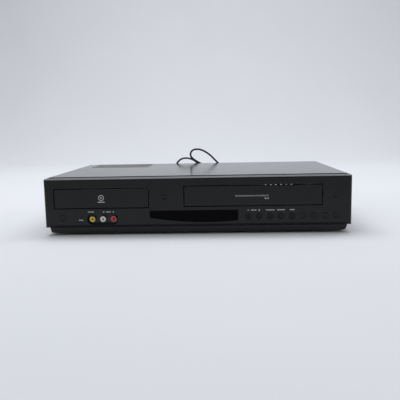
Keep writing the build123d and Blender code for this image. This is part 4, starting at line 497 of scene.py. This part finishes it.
# ---- Rear jacks and aerial connectors --------------------------------------------------------------------------------
# A moulded block behind the rear panel with three columns of three phono jacks that come out through it, and the
# tuner's box with its two aerial connectors, all tinned steel.
block_low, block_high = (np.array(corner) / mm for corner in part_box("rear_jacks"))
wall_face = 126.55                   # inner face of the rear panel
block_floor = 10.0


def rounded_block(low, high, corner, steps=6):
    """Box with its four long edges rounded: a ring of quarter circles in x and z at its front and one at its rear,
    each closed at its middle point."""
    quarter = np.linspace(0, np.pi / 2, steps)
    angle = np.concatenate([quarter + k * np.pi / 2 for k in range(4)])
    middle, half = (low + high) / 2, (high - low) / 2
    k = np.repeat(np.arange(4), steps)
    x = np.array([1, -1, -1, 1])[k] * (half[0] - corner) + corner * np.cos(angle)
    z = np.array([1, 1, -1, -1])[k] * (half[2] - corner) + corner * np.sin(angle)
    shrink = [(0.0, low[1]), (1.0, low[1]), (1.0, high[1]), (0.0, high[1])]
    rows = [np.stack([middle[0] + s * x, np.full(angle.size, y), middle[2] + s * z], 1) for s, y in shrink]
    return np.stack(rows) * mm


near_corner = np.array([block_low[0], block_low[1], block_floor])
far_corner = np.array([block_high[0], wall_face - 0.02, block_high[2]])
fit(surface("rear_jack_block", rounded_block(near_corner, far_corner, 0.8), closed_v=True), jack_moulding, "case",
    ("rear_jacks",))
middle_x, column_pitch = -86.0, 14.4
middle_z, row_pitch = 44.0, 15.0
columns = (("green", "blue", "red"), ("white", "white", "yellow"), ("red", "red", "yellow"))
for i, column in enumerate(columns):
    for j, colour in enumerate(column):
        centre = (middle_x + column_pitch * (i - 1), block_high[1], middle_z + row_pitch * (1 - j))
        phono_jack(f"rear_{colour}_{i + 1}{j + 1}", colour, centre, block_high[1] - wall_face, 1)

tinned = moulded("tinned_steel", "b2b3b0", 0.3, 0.5, 0.001, mottle=0.12, metallic=1.0, stretch=(1.0, 1.0, 0.15))
paint(tinned, "tuner")


# ---- Boards ----------------------------------------------------------------------------------------------------------
# Paper-phenolic boards with green solder mask over copper tracks. What stands on them is black epoxy, except the
# sleeved capacitors' aluminium tops, the transformer's yellow tape and the heat sink.
def beyond(tree, coordinate, limit_mm, side="GREATER_THAN"):
    """1 where a coordinate lies past a limit in millimetres, on the side that is named, and 0 elsewhere."""
    return add(tree, "ShaderNodeMath", {0: coordinate, 1: limit_mm * mm}, operation=side).outputs[0]


def masked_board(name, upright):
    """Green mask with paler tracks. A Voronoi cell 3.5 mm wide has square edges when its distance is the largest of the
    three coordinate differences, and a track lies past 0.36 to 0.4 of the width. Height, or depth on the upright board,
    parts the board from what stands on it."""
    made = moulded(name, "1f4a26", 0.3, 1.2, 0.004, mottle=0.1)
    tree, shader = made.node_tree, made.node_tree.nodes["Principled BSDF"]
    place = next(n for n in tree.nodes if n.type == "TEX_COORD").outputs["Object"]
    cells = add(tree, "ShaderNodeTexVoronoi", {"Vector": place, "Scale": 1 / (3.5 * mm), "Randomness": 0.55},
                distance="CHEBYCHEV", feature="F1")
    track = add(tree, "ShaderNodeMapRange", {"Value": cells.outputs["Distance"], "From Min": 0.36, "From Max": 0.4})
    colour = blend(tree, track.outputs[0], linear("1c4724"), linear("3c7a3a"))
    x, y, z = add(tree, "ShaderNodeSeparateXYZ", {"Vector": place}).outputs
    part = beyond(tree, y, -125.70, "LESS_THAN") if upright else beyond(tree, z, 15.65)
    colour = blend(tree, part, colour, linear("1a1b1e"))
    if name == "power_board_mask":
        for left_edge, paint_hex in ((-176.0, "b58a2a"), (-137.5, "8a8c8e")):  # the transformer, then the heat sink
            share = add(tree, "ShaderNodeMath", {0: beyond(tree, x, left_edge), 1: part}, operation="MULTIPLY")
            colour = blend(tree, share.outputs[0], colour, linear(paint_hex))
    elif name == "main_board_mask":
        colour = blend(tree, beyond(tree, z, 24.5), colour, linear("b9babb"))  # tops of the capacitors
    tree.links.new(colour, shader.inputs["Base Color"])
    return made


for name in ("front_board", "main_board", "power_board"):
    paint(masked_board(f"{name}_mask", name == "front_board"), name)


# ---- Disc loader -----------------------------------------------------------------------------------------------------
# Frame and tray moulded in black polystyrene with a satin, slightly blue surface. Gears, pulley and clamper are white
# acetal, waxy to the eye; the belt is ground rubber, the bridge and the traverse bright zinc-plated steel.
polystyrene = moulded("moulded_black_polystyrene", "17181b", 0.36, 0.9, 0.004, mottle=0.08)
paint(polystyrene, "loader_frame", "disc_tray")
acetal = moulded("moulded_white_acetal", "dcd9cf", 0.36, 0.8, 0.003, mottle=0.04)
acetal.node_tree.nodes["Principled BSDF"].inputs["Subsurface Weight"].default_value = 0.12
acetal.node_tree.nodes["Principled BSDF"].inputs["Subsurface Radius"].default_value = (0.002, 0.002, 0.0016)
paint(acetal, "tray_gear", "pulley_gear", "motor_pulley", "clamper")
belt_rubber = moulded("ground_black_rubber", "1d1d1e", 0.85, 0.25, 0.01, specular=0.25)
paint(belt_rubber, "tray_belt")
bright_zinc = moulded("bright_zinc_plate", "a9acb0", 0.3, 0.35, 0.0015, mottle=0.1, metallic=1.0,
                      stretch=(0.12, 1.0, 1.0))
paint(bright_zinc, "clamper_bridge", "traverse")
motor_can = moulded("drawn_motor_can", "b0b1b1", 0.26, 0.4, 0.001, mottle=0.08, metallic=1.0, stretch=(1.0, 1.0, 0.2))
paint(motor_can, "loader_motor", "spindle_motor")
polycarbonate = moulded("turntable_polycarbonate", "1a1a1c", 0.5, 0.6, 0.006)
paint(polycarbonate, "turntable")
paint(jack_moulding, "pickup")

lens_middle = (-133.75, -34.685, 41.23)
lens_radius, lens_rise, lens_seat = 1.9, 0.45, 0.05
traverse_lean = 3.12                 # degrees


def lens_dome(steps=32):
    """Cap over the pickup's seat, its rise times 1 - (r/R) squared, leaning with the lowered traverse."""
    radius = np.linspace(0, lens_radius, 8)[:, None]
    angle = np.linspace(0, 2 * np.pi, steps, endpoint=False)
    slope = np.tan(np.radians(traverse_lean))
    x = lens_middle[0] + radius * np.cos(angle)
    y = lens_middle[1] + radius * np.sin(angle)
    z = lens_middle[2] + lens_rise * (1 - (radius / lens_radius) ** 2) - lens_seat + slope * (y - lens_middle[1])
    under = np.broadcast_to(np.array(lens_middle) - (0, 0, 0.3), (1, steps, 3))
    return np.concatenate([np.stack([x, y, z], 2), under]) * mm


lens_glass = moulded("coated_lens_acrylic", "1b2347", 0.05, 5.0, 0.0001, mottle=0.1)
fit(surface("pickup_lens", lens_dome(), closed_v=True), lens_glass, "pickup")


# ---- Tape deck -------------------------------------------------------------------------------------------------------
# Pressed deck, guides, carrier and sliders of galvanised steel; the drum's two halves turned from aluminium, with
# grooves 0.3 mm apart all round; heads in tinned cans; reels of black acetal; a ground rubber roller on its arm.
deck_zinc = galvanised("galvanised_deck_sheet", 4.0)
paint(deck_zinc, "deck_chassis", "carrier_guides", "cassette_carrier", "carrier_sliders")
paint(bright_zinc, "pinch_arm")
drum_metal = moulded("turned_aluminium", "c9cacc", 0.22, 0.3, 0.0008, mottle=0.04, metallic=1.0,
                     stretch=(0.05, 0.05, 1.0))
paint(drum_metal, "lower_drum", "head_drum")
shaft_steel = moulded("ground_steel", "b9babd", 0.16, 0.3, 0.0005, mottle=0.05, metallic=1.0, stretch=(1.0, 1.0, 0.1))
paint(shaft_steel, "capstan")
paint(tinned, "tape_heads")
reel_black = moulded("moulded_black_acetal", "19191b", 0.4, 0.8, 0.004)
paint(reel_black, "supply_reel", "take_up_reel")
paint(belt_rubber, "pinch_roller")
paint(acetal, "left_guide_carriage", "right_guide_carriage")


# ---- Printing --------------------------------------------------------------------------------------------------------
# Plain signs only, pad-printed: pale grey ink on the panel and the doors, dark ink on the transport and power keys.
# Real ink is some 0.01 mm thick; each sign is a closed prism 0.05 mm thick, sunk 0.02 mm into what carries it.
ink = moulded("pale_pad_print", "b9bbbd", 0.55, 0.4, 0.001, mottle=0.06, specular=0.3)
dark_ink = moulded("dark_pad_print", "050506", 0.45, 0.4, 0.001, mottle=0.03, specular=0.3)


def oblong(x, z, width, height):
    """Rectangle about a middle."""
    return np.array([(x - width / 2, z - height / 2), (x + width / 2, z - height / 2),
                     (x + width / 2, z + height / 2), (x - width / 2, z + height / 2)])


def arrow(x, z, width, height, way=1):
    """Triangle that points right (1) or left (-1), about the middle of its width."""
    tail_x, tip_x = x - way * width / 2, x + way * width / 2
    return np.array([(tail_x, z - height / 2), (tip_x, z), (tail_x, z + height / 2)])


def circle(x, z, radius, steps=32):
    """Points round a circle."""
    angle = np.linspace(0, 2 * np.pi, steps, endpoint=False)
    return np.stack([x + radius * np.cos(angle), z + radius * np.sin(angle)], 1)


def printed(name, shapes, face_y, material, body):
    """One mesh of flat prisms in the xz plane. A shape is an outline, or a pair of outlines of the same count, outer
    and inner, for a ring; each is carried from 0.02 mm behind the face to 0.03 mm before it."""
    points, faces = [], []
    for shape in shapes:
        loops = shape if isinstance(shape, tuple) else (shape,)
        count, base = len(loops[0]), len(points)
        for loop in loops:
            for y in (face_y + 0.02, face_y - 0.03):
                points += [(x * mm, y * mm, z * mm) for x, z in loop]
        here = np.arange(count)
        after = (here + 1) % count
        for k in range(len(loops)):
            low = base + 2 * k * count
            faces += np.stack([low + here, low + after, low + count + after, low + count + here], 1).tolist()
        if len(loops) == 2:
            for k in (0, 1):
                outer, inner = base + k * count, base + (2 + k) * count
                faces += np.stack([outer + here, outer + after, inner + after, inner + here], 1).tolist()
        else:
            faces += [(base + here).tolist(), (base + count + here).tolist()]
    mesh = bpy.data.meshes.new(name)
    mesh.from_pydata(points, [], faces)
    return fit(piece(name, mesh, sharp=30), material, body)


first_key_x, key_pitch = 71.9, 15.18
key_x = first_key_x + key_pitch * np.arange(9)
key_z, sign_z = 24.5, 33.4
panel_signs = [
    oblong(-149.0, 33.7, 8.6, 1.1),
    circle(-131.0, 33.5, 0.9), oblong(-124.2, 33.5, 7.0, 1.1), circle(-117.4, 33.5, 0.9),
    oblong(-163.6, 22.0, 6.4, 1.1),
    oblong(key_x[0], sign_z, 2.6, 0.8), oblong((key_x[0] + key_x[1]) / 2, sign_z, 7.4, 1.1),
    oblong(key_x[1], sign_z, 2.6, 0.8), oblong(key_x[1], sign_z + 0.87, 0.8, 0.95),
    oblong(key_x[1], sign_z - 0.87, 0.8, 0.95),
    oblong(key_x[2], sign_z, 11.8, 1.1),
    circle(key_x[3] - 4.6, sign_z, 0.8), oblong(key_x[3] + 0.9, sign_z, 8.8, 1.1),
    oblong(key_x[4], sign_z, 6.6, 1.3),
]
printed("panel_signs", panel_signs, front_y, ink, "case")

disc_x, disc_z = -133.8, 53.4
disc_sign = [(circle(disc_x, disc_z, 4.1), circle(disc_x, disc_z, 3.1)), circle(disc_x, disc_z, 1.2),
             oblong(disc_x, 47.4, 9.4, 1.3)]
printed("tray_door_sign", disc_sign, front_y, ink, "disc_tray")

scale_x = np.linspace(54.5, 99.5, 31)
tape_sign = [oblong(77.0, 53.1, 46.0, 0.3)]
for i, x in enumerate(scale_x):
    longer = 0.3 if i % 5 == 0 else 0.0
    tape_sign.append(oblong(x, 53.9 + longer, 0.45, 1.3 + 2 * longer))
tape_sign += [circle(95.6, 49.9, 1.0), circle(99.4, 49.9, 1.0), oblong(97.5, 49.05, 2.6, 0.35)]
printed("cassette_door_sign", tape_sign, front_y, ink, "cassette_door")

key_face = front_y - cap_proud + dish
transport = {
    "rewind_button": [arrow(key_x[5] - 0.95, key_z, 1.8, 2.6, -1), arrow(key_x[5] + 0.95, key_z, 1.8, 2.6, -1)],
    "stop_button": [oblong(key_x[6], key_z, 2.8, 2.8)],
    "play_button": [arrow(key_x[7] + 0.2, key_z, 2.8, 3.2)],
    "forward_button": [arrow(key_x[8] - 0.95, key_z, 1.8, 2.6), arrow(key_x[8] + 0.95, key_z, 1.8, 2.6)],
}
for name, shapes in transport.items():
    printed(name.replace("button", "sign"), shapes, key_face, dark_ink, name)
power_x, power_z = -189.8, 25.1
power_sign = [(circle(power_x, power_z, 2.0), circle(power_x, power_z, 1.55)), oblong(power_x, 26.3, 0.5, 2.4)]
printed("power_sign", power_sign, key_face, dark_ink, "power_button")
